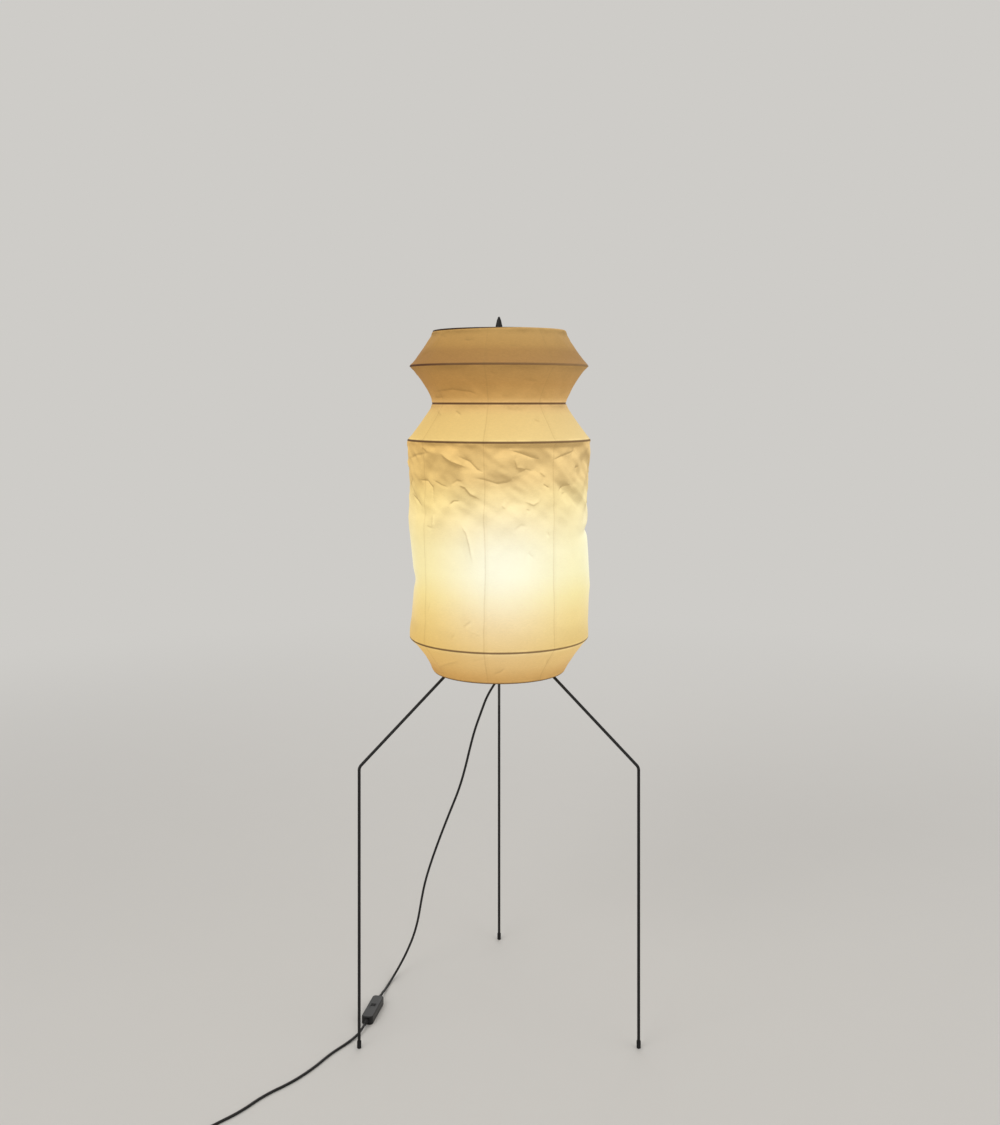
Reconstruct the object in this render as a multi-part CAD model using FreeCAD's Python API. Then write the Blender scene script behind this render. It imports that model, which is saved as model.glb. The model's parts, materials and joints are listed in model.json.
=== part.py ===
# Paper lantern floor lamp: a folding paper shade on six wire rings, hung from the mast of a
# three-legged rod stand, with a screw bulb, a cord with a rocker switch, and a plug.
#
# Millimetres, +Z up. The floor is z = 0. The origin is the middle of the lamp's footprint, cord
# left out, so the upright axis of lamp and shade stands a little in front of it, at y = axis_y.
# Heights are above the floor, and x and y in the tables below are from the lamp's upright axis.
import FreeCAD, Part
import math
import os

os.makedirs("parts", exist_ok=True)

# ---------------------------------------------------------------- driving dimensions

# Stand: three bent rods that meet in a hub inside the shade
rod_d = 6.0                 # steel rod of the legs and the mast
leg_reach = 318.0           # from the lamp's axis to each upright leg
knee_height = 553.0         # where a leg bends from upright to sloping
apex_height = 817.0         # where the three sloping rods would meet on the axis
knee_bend = 12.0            # centre-line radius of the knee
leg_start = 22.0            # from the axis to a rod's end inside the hub
leg_names = {"left": 210.0, "right": 330.0, "back": 90.0}   # compass angle of each leg

foot_wall = 1.2             # of the rubber tip on each leg
foot_height = 14.0
foot_floor = 2.0            # rubber under the rod's end
foot_round = 1.0

hub_d = 72.0
hub_over_rods = 5.4         # of the hub above the legs' inner ends
hub_under_rods = 2.2        # and below the legs where they leave it
hub_round = 2.0

screw_d = 4.0               # headless set screws that hold the rods in the hub
screw_socket_d = 2.3
screw_socket_deep = 2.5
screw_length = 7.0
slip_fit = 0.1              # around a rod in its bore, a nut on its tube, and the like

# Mast: stands beside the bulb and bends back to the lamp's axis above it
mast_beside_bulb = 5.0      # clear width between the mast and the bulb
mast_seat = 20.0            # length held in the hub
mast_bend = 18.0
mast_slope = 45.0           # degrees from upright of its slanting middle
mast_over_bulb = 55.0       # clear height between the bulb's top and the first bend

# Lampholder on a threaded tube, both on the bulb's own axis
bulb_x = 16.0
nipple_d = 10.0
nipple_bore = 7.0
nipple_out = 9.0            # below the hub, and again inside the cap
nut_across = 14.0
nut_thick = 4.0
holder_d = 41.0
holder_wall = 2.2
holder_foot_d = 29.0        # where the cap stands on the hub
holder_flare = 9.0          # height over which it widens
holder_cap_height = 26.0
holder_floor = 3.0
holder_ledge = 14.0         # height of the ledge that the insert rests on
ledge_wide = 2.3
holder_shell_height = 36.0
grip_from = 3.0             # raised grip round the shell, up from its lower edge
grip_to = 14.0
grip_proud = 1.0
insert_height = 12.0
wire_holes_apart = 23.0     # two holes in the insert for the cord's wires
contact_d = 6.0
contact_height = 4.0
screw_shell_bore = 26.8
screw_shell_wall = 0.6
screw_shell_height = 23.0
screw_shell_flange = 2.5

# Bulb: pear-shaped glass on a 27 mm screw cap
bulb_length = 105.0
bulb_d = 60.0
bulb_neck_d = 28.0
bulb_wall = 0.8
bulb_cap_d = 26.0
bulb_cap_height = 25.0
bulb_cap_neck = 2.0         # of the cap's height, round the glass
thread_deep = 1.0
thread_rows = 5
bulb_tip_d = 9.0
bulb_tip_height = 3.0
bulb_nose_d = 5.2
bulb_clearance = 0.3        # between the bulb and what it turns in
stem_d = 8.0
stem_height = 34.0
filament_d = 1.8
filament_length = 32.0
filament_ring_d = 16.0
filament_below_stem = 8.0   # from the stem's top down to the filaments' lower ends
filament_arm_d = 1.1
filament_count = 4

# Shade: its wire rings from the top down, with the paper's outer radius at each ring and the
# height of the paper band that hangs below it
shade_rings = [
    ("rim", 140.0, 73.0),
    ("upper", 188.0, 78.0),
    ("neck", 140.0, 76.0),
    ("shoulder", 192.0, 411.0),
    ("lower", 187.0, 70.0),
    ("foot", 138.0, 0.0),
]
band_names = ["rim", "upper", "neck", "body", "foot"]   # the paper between neighbouring rings
body_halved = 0.5           # share of the tall body band that hangs from its upper ring
foot_over_legs = 3.0        # clear height between the lowest ring's wire and the legs
ring_wire = 3.2
paper = 0.4                 # thickness
glue_gap = 0.05             # between a ring's wire and the paper round it

# Spider in the rim ring, with the socket that sits on the mast, and its finial
spider_wire = 3.0
spider_arms = 3
spider_first = 180.0        # compass angle of the first arm
socket_d = 12.0
socket_under = 9.0          # below the rim ring's plane
socket_over = 7.0           # above it
socket_deep = 11.0
stud_d = 4.0
stud_height = 6.0
finial_base_d = 15.0
finial_height = 24.0
finial_mid_d = 8.6
finial_mid_at = 17.0
finial_tip_d = 3.6
loose_fit = 0.3             # between pieces that move on each other

# Cord: round flex, its route from the stand to the switch and on to the coil
cord_d = 5.0
relief_length = 20.0        # tapered sleeve under the hub
relief_top_d = 15.0
relief_end_d = 7.6
straight_out = 19.0         # first run of the cord, straight out of the relief
straight_in = 15.0          # last run, square into a sleeve of the switch or into the coil
drop_route = [              # from the relief down to the floor behind the switch
    (12.0, 4.0, 713.0),
    (2.0, 11.0, 693.0),
    (-12.0, 19.0, 672.0),
    (-27.0, 28.0, 644.0),
    (-38.0, 35.0, 612.0),
    (-52.0, 42.0, 572.0),
    (-63.0, 50.0, 528.0),
    (-73.0, 59.0, 484.0),
    (-86.0, 68.0, 437.0),
    (-107.0, 78.0, 383.0),
    (-128.0, 89.0, 327.0),
    (-148.0, 100.0, 269.0),
    (-163.0, 115.0, 217.0),
    (-172.0, 131.0, 170.0),
    (-180.0, 145.0, 121.0),
    (-191.0, 155.0, 80.0),
    (-205.0, 157.0, 46.0),
    (-220.0, 146.0, 20.0),
    (-234.0, 119.0, 5.0),
    (-243.0, 85.0, 2.5),
    (-246.5, 63.0, 4.5),
]
run_route = [               # along the floor, past the left foot
    (-283.0, -119.0, 4.5),
    (-301.0, -147.0, 2.5),
    (-328.0, -184.0, 2.5),
    (-353.0, -234.0, 2.5),
    (-387.0, -283.0, 2.5),
    (-430.0, -324.0, 2.5),
    (-463.0, -376.0, 2.5),
    (-502.0, -415.0, 2.5),
]

# Coil of the length that is put away, wound inwards on the floor and outwards on top
coil_centre = (-513.0, -483.0)
coil_radius = 32.0          # of the outermost turn's centre line
coil_gap = 0.5              # between neighbouring turns, and between the two layers
coil_start = 143.0          # compass angle where the cord comes in
coil_end = 270.0            # and where it leaves, heading for +X
coil_whole_turns = 3
coil_lift = 1.0             # the tie passes under the turns
tie_gap = 0.4               # round the turns
tie_thick = 0.8
tie_wide = 5.0
tie_at = 20.0               # compass angle

# Rocker switch on the cord
switch_centre = (-262.4, -27.5)
switch_heading = 259.8      # compass angle of its long axis, away from the stand
switch_length = 90.0
switch_width = 24.0
switch_height = 17.0
switch_wall = 1.8
switch_corner = 7.0
switch_edge = 2.2
switch_split = 8.5          # height of the joint between base and cover
collar_held = 2.9           # of each sleeve, inside the case
nose_length = 14.0          # tapered sleeve at each end
nose_d = 9.0
nose_end_d = 6.6
rocker_radius = 10.0        # of its round ends about its axle
rocker_width = 9.4
rocker_end = 7.5            # from the axle to each end of its top
rocker_dip = 1.1            # of its top, over the axle
rocker_skirt = 4.0          # below the axle
rocker_axle_d = 2.6
rocker_below = 6.0          # axle below the cover's top
rocker_tilt = 10.0          # degrees either way from level
rocker_gap = 0.5
rocker_window = 19.0
axle_length = 15.0
lug_thick = 2.4
lug_wide = 7.0
lug_below_axle = 3.0
lug_gap = 0.35
case_screw_d = 2.6
case_screw_head_d = 5.0
case_screw_head = 1.6       # its height
case_screw_sunk = 0.6
case_screw_slot = 0.8
case_screw_length = 11.0
case_screw_spread = 62.0
boss_d = 6.5
terminal_size = (9.0, 6.0, 5.0)
terminal_spread = 40.0
terminal_bore = 2.4

# Plug: flat two-pin plug, lying beside the coil
plug_front = 35.3
plug_thick = 13.7
plug_back = 14.0
plug_back_thick = 11.0
plug_grip = 30.4
plug_grip_thick = 12.3
plug_grip_at = 22.3         # from its back
plug_chamfer = 0.3          # of its thickness, off each corner
plug_length = 36.0
plug_pin_d = 4.0
plug_pin_length = 19.0
plug_pin_pitch = 18.6
plug_pin_root_d = 3.0
plug_pin_seat = 8.0
plug_pin_round = 0.9
plug_relief_length = 22.0
plug_relief_d = 8.6
plug_relief_wall = 0.8      # at its thin end
plug_lead = 36.0            # free cord between the coil and the plug's sleeve

# ---------------------------------------------------------------- values worked out from them

rod_r = rod_d / 2
cord_r = cord_d / 2
widest = max(radius for name, radius, band in shade_rings)
foot_r = rod_r + foot_wall
back_most = leg_reach + foot_r
front_most = max(widest, leg_reach * math.sin(math.radians(30)) + foot_r)
axis_y = (front_most - back_most) / 2

leg_fall = (apex_height - knee_height) / leg_reach
leg_upright = rod_r * math.hypot(1, leg_fall)   # half the height of a sloping rod, cut upright
hub_top = apex_height - leg_fall * leg_start + leg_upright + hub_over_rods
hub_bottom = apex_height - leg_fall * hub_d / 2 - leg_upright - hub_under_rods
hub_height = hub_top - hub_bottom
mast_x = bulb_x - bulb_d / 2 - mast_beside_bulb - rod_r

insert_bottom = hub_top + holder_ledge
insert_top = insert_bottom + insert_height
bulb_bottom = insert_top + contact_height + bulb_clearance
bulb_top = bulb_bottom + bulb_length
nipple_bottom = hub_bottom - nipple_out
relief_top = hub_bottom - nut_thick
relief_seat = relief_top - nipple_bottom
cord_exit = relief_top - relief_seat - relief_length

coil_pitch = cord_d + coil_gap
coil_turns = coil_whole_turns + (coil_end - coil_start) / 360


def band_slope(k):
    """Angle from upright of the paper between ring k and the next."""
    return math.atan2(abs(shade_rings[k][1] - shade_rings[k + 1][1]), shade_rings[k][2])


def ring_radius(k):
    """Centre-line radius of a ring that just fits inside the paper."""
    slopes = [band_slope(j) for j in (k - 1, k) if 0 <= j < len(band_names)]
    inside = (ring_wire / 2 + glue_gap) / math.cos(max(slopes))
    return shade_rings[k][1] - paper - inside


leg_at_foot_ring = apex_height - leg_fall * ring_radius(len(band_names)) + leg_upright
foot_ring_height = leg_at_foot_ring + foot_over_legs + ring_wire / 2
rings = []                  # name, height above the floor, outer radius of the paper
for k, (ring_name, paper_radius, band) in enumerate(shade_rings):
    below = sum(band for name, radius, band in shade_rings[k:])
    rings.append((ring_name, foot_ring_height + below, paper_radius))
rim = rings[0][1]


# ---------------------------------------------------------------- helpers

def vec(x, y, z):
    """A point given from the lamp's upright axis and the floor."""
    return FreeCAD.Vector(x, y + axis_y, z)


def heading(angle, tilt=0.0):
    """Unit direction of a compass angle, rising by tilt, both in degrees."""
    flat = math.cos(math.radians(tilt))
    return FreeCAD.Vector(
        flat * math.cos(math.radians(angle)),
        flat * math.sin(math.radians(angle)),
        math.sin(math.radians(tilt)),
    )


up = FreeCAD.Vector(0, 0, 1)


def save(name, *solids):
    """Write one node, and print what is in it."""
    shape = solids[0] if len(solids) == 1 else Part.makeCompound(list(solids))
    if not shape.isValid():
        print("NOT VALID:", name)
    shape.exportStep("parts/" + name + ".step")
    print(f"{name}: {len(shape.Solids)} solid(s), {shape.Volume / 1000:.2f} cm3")


def lathe(profile, x=0.0, y=0.0):
    """Solid of revolution about an upright axis at x, y, from (radius, height) points."""
    points = [vec(x + r, y, z) for r, z in profile]
    face = Part.Face(Part.makePolygon(points + points[:1]))
    return face.revolve(vec(x, y, 0), up, 360)


def cylinder(diameter, start, direction, length):
    return Part.makeCylinder(diameter / 2, length, start, direction)


def hexagon(across, thick, x, z):
    """Hexagonal nut blank about an upright axis."""
    corner = across / 2 / math.cos(math.radians(30))
    points = [vec(x, 0, z) + heading(60 * k) * corner for k in range(7)]
    return Part.Face(Part.makePolygon(points)).extrude(up * thick)


def arc_between(start, corner, end):
    """Arc from start to end that leaves towards corner and arrives from it."""
    middle = (start + end) / 2
    half = (end - start).Length / 2
    rise = (corner - middle).Length
    angle = math.atan2(rise, half)
    if angle < 1e-6:
        return Part.LineSegment(start, end)
    on_arc = middle + (corner - middle) * (math.tan(angle / 2) / math.tan(angle))
    return Part.Arc(start, on_arc, end)


def bent_path(points, bend=None):
    """Straight runs joined by tangent arcs, and the arcs' radii.

    A bend of None makes each arc as large as its two runs allow."""
    edges, radii = [], []
    at = points[0]
    for before, corner, after in zip(points, points[1:], points[2:]):
        way_in = (corner - before).normalize()
        way_out = (after - corner).normalize()
        half_turn = way_in.getAngle(way_out) / 2
        if bend is None:
            cut = 0.45 * min((corner - before).Length, (after - corner).Length)
        else:
            cut = bend * math.tan(half_turn)
        radii.append(cut / math.tan(half_turn))
        start, end = corner - way_in * cut, corner + way_out * cut
        edges.append(Part.LineSegment(at, start))
        edges.append(arc_between(start, corner, end))
        at = end
    edges.append(Part.LineSegment(at, points[-1]))
    return Part.Wire([edge.toShape() for edge in edges]), radii


def tube(path, diameter):
    """Round bar or cord along a smooth path."""
    first = path.OrderedEdges[0]
    start = first.valueAt(first.FirstParameter)
    along = first.tangentAt(first.FirstParameter)
    if (start - path.OrderedVertexes[0].Point).Length > 1e-6:
        start = first.valueAt(first.LastParameter)
        along = first.tangentAt(first.LastParameter) * -1
    section = Part.Wire(Part.makeCircle(diameter / 2, start, along))
    return path.makePipeShell([section], True, False)


def biarc(start, way_in, end, way_out):
    """Two tangent arcs that join two points with given directions."""
    across = end - start
    both = way_in + way_out
    spare = 2 * (1 - way_in.dot(way_out))
    reach = across.dot(both)
    length = (-reach + math.sqrt(reach ** 2 + spare * across.dot(across))) / spare
    corner_in = start + way_in * length
    corner_out = end - way_out * length
    middle = (corner_in + corner_out) / 2
    return [arc_between(start, corner_in, middle), arc_between(middle, corner_out, end)]


# ---------------------------------------------------------------- stand

def leg_point(angle, reach):
    """Point on a sloping leg's centre line, at a distance from the axis."""
    return vec(0, 0, apex_height - leg_fall * reach) + heading(angle) * reach


def make_hub():
    hub = cylinder(hub_d, vec(0, 0, hub_bottom), up, hub_height)
    rims = [edge for edge in hub.Edges if isinstance(edge.Curve, Part.Circle)]
    hub = hub.makeFillet(hub_round, rims)
    bore = rod_d + 2 * slip_fit
    for angle in leg_names.values():
        inner = leg_point(angle, leg_start)
        outward = (leg_point(angle, hub_d) - inner).normalize()
        hub = hub.cut(cylinder(bore, inner - outward * slip_fit, outward, hub_d))
        hub = hub.cut(cylinder(screw_d + 2 * slip_fit, *screw_axis(angle), screw_length + 6))
    deep = mast_seat + slip_fit
    hub = hub.cut(cylinder(bore, vec(mast_x, 0, hub_top - deep), up, deep))
    hub = hub.cut(cylinder(screw_d + 2 * slip_fit, *mast_screw_axis(), screw_length + 8))
    hub = hub.cut(
        cylinder(nipple_d + 2 * slip_fit, vec(bulb_x, 0, hub_bottom), up, hub_height)
    )
    save("hub", hub)


def screw_axis(angle):
    """Inner end of a leg's set screw, and the way out of its hole, straight down."""
    reach = (leg_start + hub_d / 2) / 2
    lowest_reach = reach + screw_d / 2 + slip_fit
    tip = apex_height - leg_fall * lowest_reach - leg_upright
    return vec(0, 0, tip) + heading(angle) * reach, up * -1


def mast_screw_axis():
    return vec(mast_x - rod_r, 0, hub_top - hub_height / 2), heading(180)


def set_screw(tip, outward):
    start = tip + outward * slip_fit
    screw = cylinder(screw_d, start, outward, screw_length)
    socket_start = start + outward * (screw_length - screw_socket_deep)
    return screw.cut(cylinder(screw_socket_d, socket_start, outward, screw_socket_deep))


def make_screws():
    screws = [set_screw(*screw_axis(angle)) for angle in leg_names.values()]
    screws.append(set_screw(*mast_screw_axis()))
    save("hub_set_screws", *screws)


def make_leg(name, angle):
    inner = leg_point(angle, leg_start)
    knee = leg_point(angle, leg_reach)
    end = FreeCAD.Vector(knee.x, knee.y, foot_floor + slip_fit)
    path, radii = bent_path([inner, knee, end], knee_bend)
    save("leg_" + name, tube(path, rod_d))


def make_foot(name, angle):
    place = heading(angle) * leg_reach
    bore_r = rod_r + slip_fit
    profile = [
        (0, 0),
        (foot_r - foot_round, 0),
        (foot_r, foot_round),
        (foot_r, foot_height),
        (bore_r, foot_height),
        (bore_r, foot_floor),
        (0, foot_floor),
    ]
    save("foot_tip_" + name, lathe(profile, place.x, place.y))


def make_mast():
    slope = math.radians(mast_slope)
    bend_low = bulb_top + mast_over_bulb
    bend_high = bend_low - mast_x / math.tan(slope)
    tip = rim - socket_under + socket_deep - loose_fit
    points = [
        vec(mast_x, 0, hub_top - mast_seat),
        vec(mast_x, 0, bend_low),
        vec(0, 0, bend_high),
        vec(0, 0, tip),
    ]
    path, radii = bent_path(points, mast_bend)
    save("mast", tube(path, rod_d))


# ---------------------------------------------------------------- lampholder and bulb

def make_nipple():
    r_out, r_in = nipple_d / 2, nipple_bore / 2
    top = hub_top + nipple_out
    profile = [(r_in, nipple_bottom), (r_out, nipple_bottom), (r_out, top), (r_in, top)]
    save("threaded_nipple", lathe(profile, bulb_x))


def make_nuts():
    bore = nipple_d + 2 * slip_fit
    nuts = []
    for z in (hub_bottom - nut_thick, hub_top + holder_floor):
        nut = hexagon(nut_across, nut_thick, bulb_x, z)
        nuts.append(nut.cut(cylinder(bore, vec(bulb_x, 0, z), up, nut_thick)))
    save("nipple_nuts", *nuts)


def make_holder_cap():
    r = holder_d / 2
    inner = r - holder_wall
    ledge = inner - ledge_wide
    hole = nipple_d / 2 + slip_fit
    floor_top = hub_top + holder_floor
    foot = holder_foot_d / 2
    profile = [
        (hole, hub_top),
        (foot, hub_top),
        (r - 0.25 * (r - foot), hub_top + 0.45 * holder_flare),
        (r, hub_top + holder_flare),
        (r, hub_top + holder_cap_height),
        (inner, hub_top + holder_cap_height),
        (inner, insert_bottom),
        (ledge, insert_bottom),
        (foot - holder_wall, floor_top),
        (hole, floor_top),
    ]
    save("holder_cap", lathe(profile, bulb_x))


def make_holder_shell():
    r = holder_d / 2
    inner = r - holder_wall
    bottom = hub_top + holder_cap_height
    top = bottom + holder_shell_height
    lip = holder_wall / 2
    profile = [
        (inner, bottom),
        (r, bottom),
        (r + grip_proud, bottom + grip_from),
        (r + grip_proud, bottom + grip_to),
        (r, bottom + grip_to + grip_from),
        (r, top - lip),
        (r - lip, top),
        (inner, top),
    ]
    save("holder_shell", lathe(profile, bulb_x))


def make_holder_insides():
    inner = holder_d / 2 - holder_wall - slip_fit
    wire_hole = nipple_bore / 2
    insert = lathe([(0, insert_bottom), (inner, insert_bottom), (inner, insert_top),
                    (0, insert_top)], bulb_x)
    for side in (-1, 1):
        hole_at = vec(bulb_x, side * wire_holes_apart / 2, insert_bottom)
        insert = insert.cut(cylinder(wire_hole, hole_at, up, insert_height))
    save("holder_insert", insert)

    r_in = screw_shell_bore / 2
    r_out = r_in + screw_shell_wall
    flange = r_out + screw_shell_flange
    top = insert_top + screw_shell_height
    profile = [
        (r_in, insert_top),
        (flange, insert_top),
        (flange, insert_top + screw_shell_wall),
        (r_out, insert_top + screw_shell_wall),
        (r_out, top),
        (r_in, top),
    ]
    save("holder_screw_shell", lathe(profile, bulb_x))
    contact = cylinder(contact_d, vec(bulb_x, 0, insert_top), up, contact_height)
    save("holder_contact", contact)


def make_lead_in():
    """The end of the cord that runs up through the relief and the nipple to the terminals."""
    lead = cylinder(cord_d, vec(bulb_x, 0, cord_exit), up, insert_bottom - cord_exit)
    save("cord_lead_in", lead)


def make_relief():
    r_nut = relief_top_d / 2
    r_nipple = nipple_d / 2 + slip_fit
    r_cord = cord_r + slip_fit
    step = relief_top - relief_seat
    profile = [
        (r_nipple, relief_top),
        (r_nut, relief_top),
        (r_nut, step),
        (relief_end_d / 2, cord_exit),
        (r_cord, cord_exit),
        (r_cord, step),
        (r_nipple, step),
    ]
    save("cord_relief", lathe(profile, bulb_x))


def bulb_outline(inset):
    """Glass outline from the neck to the top, drawn in by inset: a wire of lines and arcs."""
    big = bulb_d / 2 - inset
    neck = bulb_neck_d / 2 - inset
    centre_z = bulb_top - bulb_d / 2
    start_z = bulb_bottom + bulb_tip_height + bulb_cap_height - bulb_cap_neck + inset
    reach = 0.42 * bulb_d       # height of the flare between neck and cheek
    cheek_angle = math.radians(-30)
    cheek = vec(bulb_x + big * math.cos(cheek_angle), 0, centre_z + big * math.sin(cheek_angle))
    side = vec(bulb_x + big * math.cos(0.35), 0, centre_z + big * math.sin(0.35))
    top = vec(bulb_x, 0, centre_z + big)
    neck_low = vec(bulb_x + neck, 0, start_z)
    neck_high = vec(bulb_x + neck, 0, start_z + 0.18 * reach)
    flare = Part.BezierCurve()
    tangent = FreeCAD.Vector(math.sin(cheek_angle), 0, -math.cos(cheek_angle))
    lift = FreeCAD.Vector(0, 0, 0.42 * reach)
    flare.setPoles([neck_high, neck_high + lift, cheek + tangent * (0.30 * reach), cheek])
    edges = [
        Part.LineSegment(neck_low, neck_high).toShape(),
        flare.toShape(),
        Part.Arc(cheek, side, top).toShape(),
    ]
    return edges, neck_low, top


def glass_body(inset):
    edges, low, top = bulb_outline(inset)
    foot = vec(bulb_x, 0, low.z)
    edges.append(Part.LineSegment(top, foot).toShape())
    edges.append(Part.LineSegment(foot, low).toShape())
    face = Part.Face(Part.Wire(Part.__sortEdges__(edges)))
    return face.revolve(vec(bulb_x, 0, 0), up, 360)


def make_bulb():
    glass = glass_body(0).cut(glass_body(bulb_wall))
    save("bulb_glass", glass)

    base = bulb_bottom + bulb_tip_height
    top = base + bulb_cap_height
    seat = top - bulb_cap_neck
    r = bulb_cap_d / 2
    root = r - thread_deep
    inner = root - thread_deep
    in_neck = bulb_neck_d / 2 + slip_fit
    around_neck = in_neck + bulb_wall
    tip_r = bulb_tip_d / 2
    tip_seat = base + thread_deep
    row = 0.56 * bulb_cap_height / thread_rows
    profile = [(tip_r, base), (root - 2 * thread_deep, base), (root, base + row)]
    for k in range(1, thread_rows + 1):
        profile += [(r, base + (k + 0.3) * row), (root, base + (k + 0.9) * row)]
    profile += [
        (around_neck, seat - slip_fit),
        (around_neck, top),
        (in_neck, top),
        (in_neck, seat),
        (inner, seat),
        (inner, tip_seat),
        (tip_r, tip_seat),
    ]
    save("bulb_cap", lathe(profile, bulb_x))

    tip = lathe([(0, bulb_bottom), (bulb_nose_d / 2, bulb_bottom), (tip_r, base),
                 (tip_r, tip_seat), (0, tip_seat)], bulb_x)
    save("bulb_tip", tip)

    stem_foot = seat + bulb_wall
    stem_top = stem_foot + stem_height
    save("bulb_stem", cylinder(stem_d, vec(bulb_x, 0, stem_foot), up, stem_height))
    filaments = []
    for k in range(filament_count):
        out = heading(45 + 360 * k / filament_count)
        axis = vec(bulb_x, 0, stem_top - filament_below_stem)
        stick = cylinder(filament_d, axis + out * (filament_ring_d / 2), up, filament_length)
        arm_length = (filament_ring_d - stem_d) / 2
        arm = cylinder(filament_arm_d, axis + out * (stem_d / 2), out, arm_length)
        filaments.append(stick.fuse(arm))
    save("bulb_filaments", *filaments)


# ---------------------------------------------------------------- shade

def ring_solid(k):
    return Part.makeTorus(ring_radius(k), ring_wire / 2, vec(0, 0, rings[k][1]), up)


def make_rings():
    for k, (name, height, radius) in enumerate(rings):
        save("ring_" + name, ring_solid(k))


def paper_cone(name, high_z, high_r, low_z, low_r):
    profile = [(high_r - paper, high_z), (high_r, high_z), (low_r, low_z), (low_r - paper, low_z)]
    save("paper_" + name, lathe(profile))


def make_bands():
    """The paper between the rings. The tall band is two halves, one folding to each ring."""
    for name, high, low in zip(band_names, rings, rings[1:]):
        high_z, high_r = high[1:]
        low_z, low_r = low[1:]
        if name == "body":
            mid_z = high_z + body_halved * (low_z - high_z)
            mid_r = high_r + body_halved * (low_r - high_r)
            paper_cone("body_high", high_z, high_r, mid_z, mid_r)
            paper_cone("body_low", mid_z, mid_r, low_z, low_r)
        else:
            paper_cone(name, high_z, high_r, low_z, low_r)


def make_spider():
    r = socket_d / 2
    bore = rod_r + loose_fit
    low, high = rim - socket_under, rim + socket_over
    profile = [
        (bore, low),
        (r, low),
        (r, high),
        (stud_d / 2, high),
        (stud_d / 2, high + stud_height),
        (0, high + stud_height),
        (0, low + socket_deep),
        (bore, low + socket_deep),
    ]
    spider = lathe(profile)
    ring = ring_solid(0)
    for k in range(spider_arms):
        out = heading(spider_first + 360 * k / spider_arms)
        start = vec(0, 0, rim) + out * (bore + 1.0)
        arm = cylinder(spider_wire, start, out, ring_radius(0) - bore - 1.0)
        spider = spider.fuse(arm.cut(ring))
    save("top_spider", spider)


def make_finial():
    base = rim + socket_over + loose_fit
    bore = stud_d / 2 + slip_fit
    bore_top = base + stud_height
    profile = [
        (bore, base),
        (finial_base_d / 2, base),
        (finial_base_d / 2, base + 2.5),
        (finial_mid_d / 2, base + finial_mid_at),
        (finial_tip_d / 2, base + finial_height - 0.8),
        (finial_tip_d / 2 - 0.8, base + finial_height),
        (0, base + finial_height),
        (0, bore_top),
        (bore, bore_top),
    ]
    save("finial", lathe(profile))


# ---------------------------------------------------------------- cord

def report_radii(name, radii):
    print(f"{name} bend radii:", " ".join(f"{r:.0f}" for r in radii))


def cord_piece(name, points):
    path, radii = bent_path(points)
    solid = tube(path, cord_d)
    report_radii(name, radii)
    expected = math.pi * cord_r ** 2 * path.Length
    print(f"{name}: length {path.Length:.0f} mm, volume / (section x length) "
          f"{solid.Volume / expected:.4f}")
    save(name, solid)
    return path.Length


def switch_place():
    """Placement that turns the switch's own frame, X along it and Z up, to where it lies."""
    turn = FreeCAD.Rotation(up, switch_heading)
    return FreeCAD.Placement(vec(switch_centre[0], switch_centre[1], 0), turn)


def switch_cord_end(side, out=0.0):
    """Where the cord meets the sleeve at the first (-1) or second (+1) end of the switch,
    or a point so far out from there, in line with the sleeve."""
    reach = side * (switch_length / 2 + nose_length + out)
    return switch_place().multVec(FreeCAD.Vector(reach, 0, switch_split))


def coil_point(turned):
    """Centre line of the coil after so many degrees: its place and its direction."""
    whole = 360 * coil_turns
    half = whole / 2
    climb = 180.0
    drawn_in = coil_pitch / 360
    rate = -drawn_in if turned < half else drawn_in
    radius = coil_radius - drawn_in * (turned if turned < half else whole - turned)
    part = min(max((turned - half + climb / 2) / climb, 0.0), 1.0)
    rise = coil_pitch * (part - math.sin(2 * math.pi * part) / (2 * math.pi))
    rise_rate = coil_pitch * (1 - math.cos(2 * math.pi * part)) / climb
    angle = coil_start + turned
    out, round_ = heading(angle), heading(angle + 90)
    place = vec(*coil_centre, cord_r + coil_lift + rise) + out * radius
    if turned == half:
        rate = 0.0
    way = out * rate + round_ * (radius * math.pi / 180) + up * rise_rate
    return place, way.normalize()


def coil_path():
    whole = 360 * coil_turns
    steps = math.ceil(whole / 90 / 2) * 2
    stations = [coil_point(whole * k / steps) for k in range(steps + 1)]
    first, way_in = stations[0]
    last, way_out = stations[-1]
    edges = [Part.LineSegment(first - way_in * cord_d, first)]
    for (start, start_way), (end, end_way) in zip(stations, stations[1:]):
        edges += biarc(start, start_way, end, end_way)
    edges.append(Part.LineSegment(last, last + way_out * cord_d))
    return Part.Wire([edge.toShape() for edge in edges]), way_in, way_out


def least_gap(path):
    """Smallest gap between the coil's turns, measured on points along it."""
    points = path.discretize(Distance=2.0)
    apart = round(4 * cord_d / 2.0)
    least = min(
        (points[j] - points[i]).Length
        for i in range(len(points))
        for j in range(i + apart, len(points))
    )
    return least - cord_d


def make_coil():
    path, way_in, way_out = coil_path()
    solid = tube(path, cord_d)
    ratio = solid.Volume / (math.pi * cord_r ** 2 * path.Length)
    print(f"cord_coil: length {path.Length:.0f} mm, least gap {least_gap(path):.2f} mm, "
          f"volume / (section x length) {ratio:.4f}")
    save("cord_coil", solid)
    start, end = path.OrderedVertexes[0].Point, path.OrderedVertexes[-1].Point
    return start, way_in, end, way_out, path.Length


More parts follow.
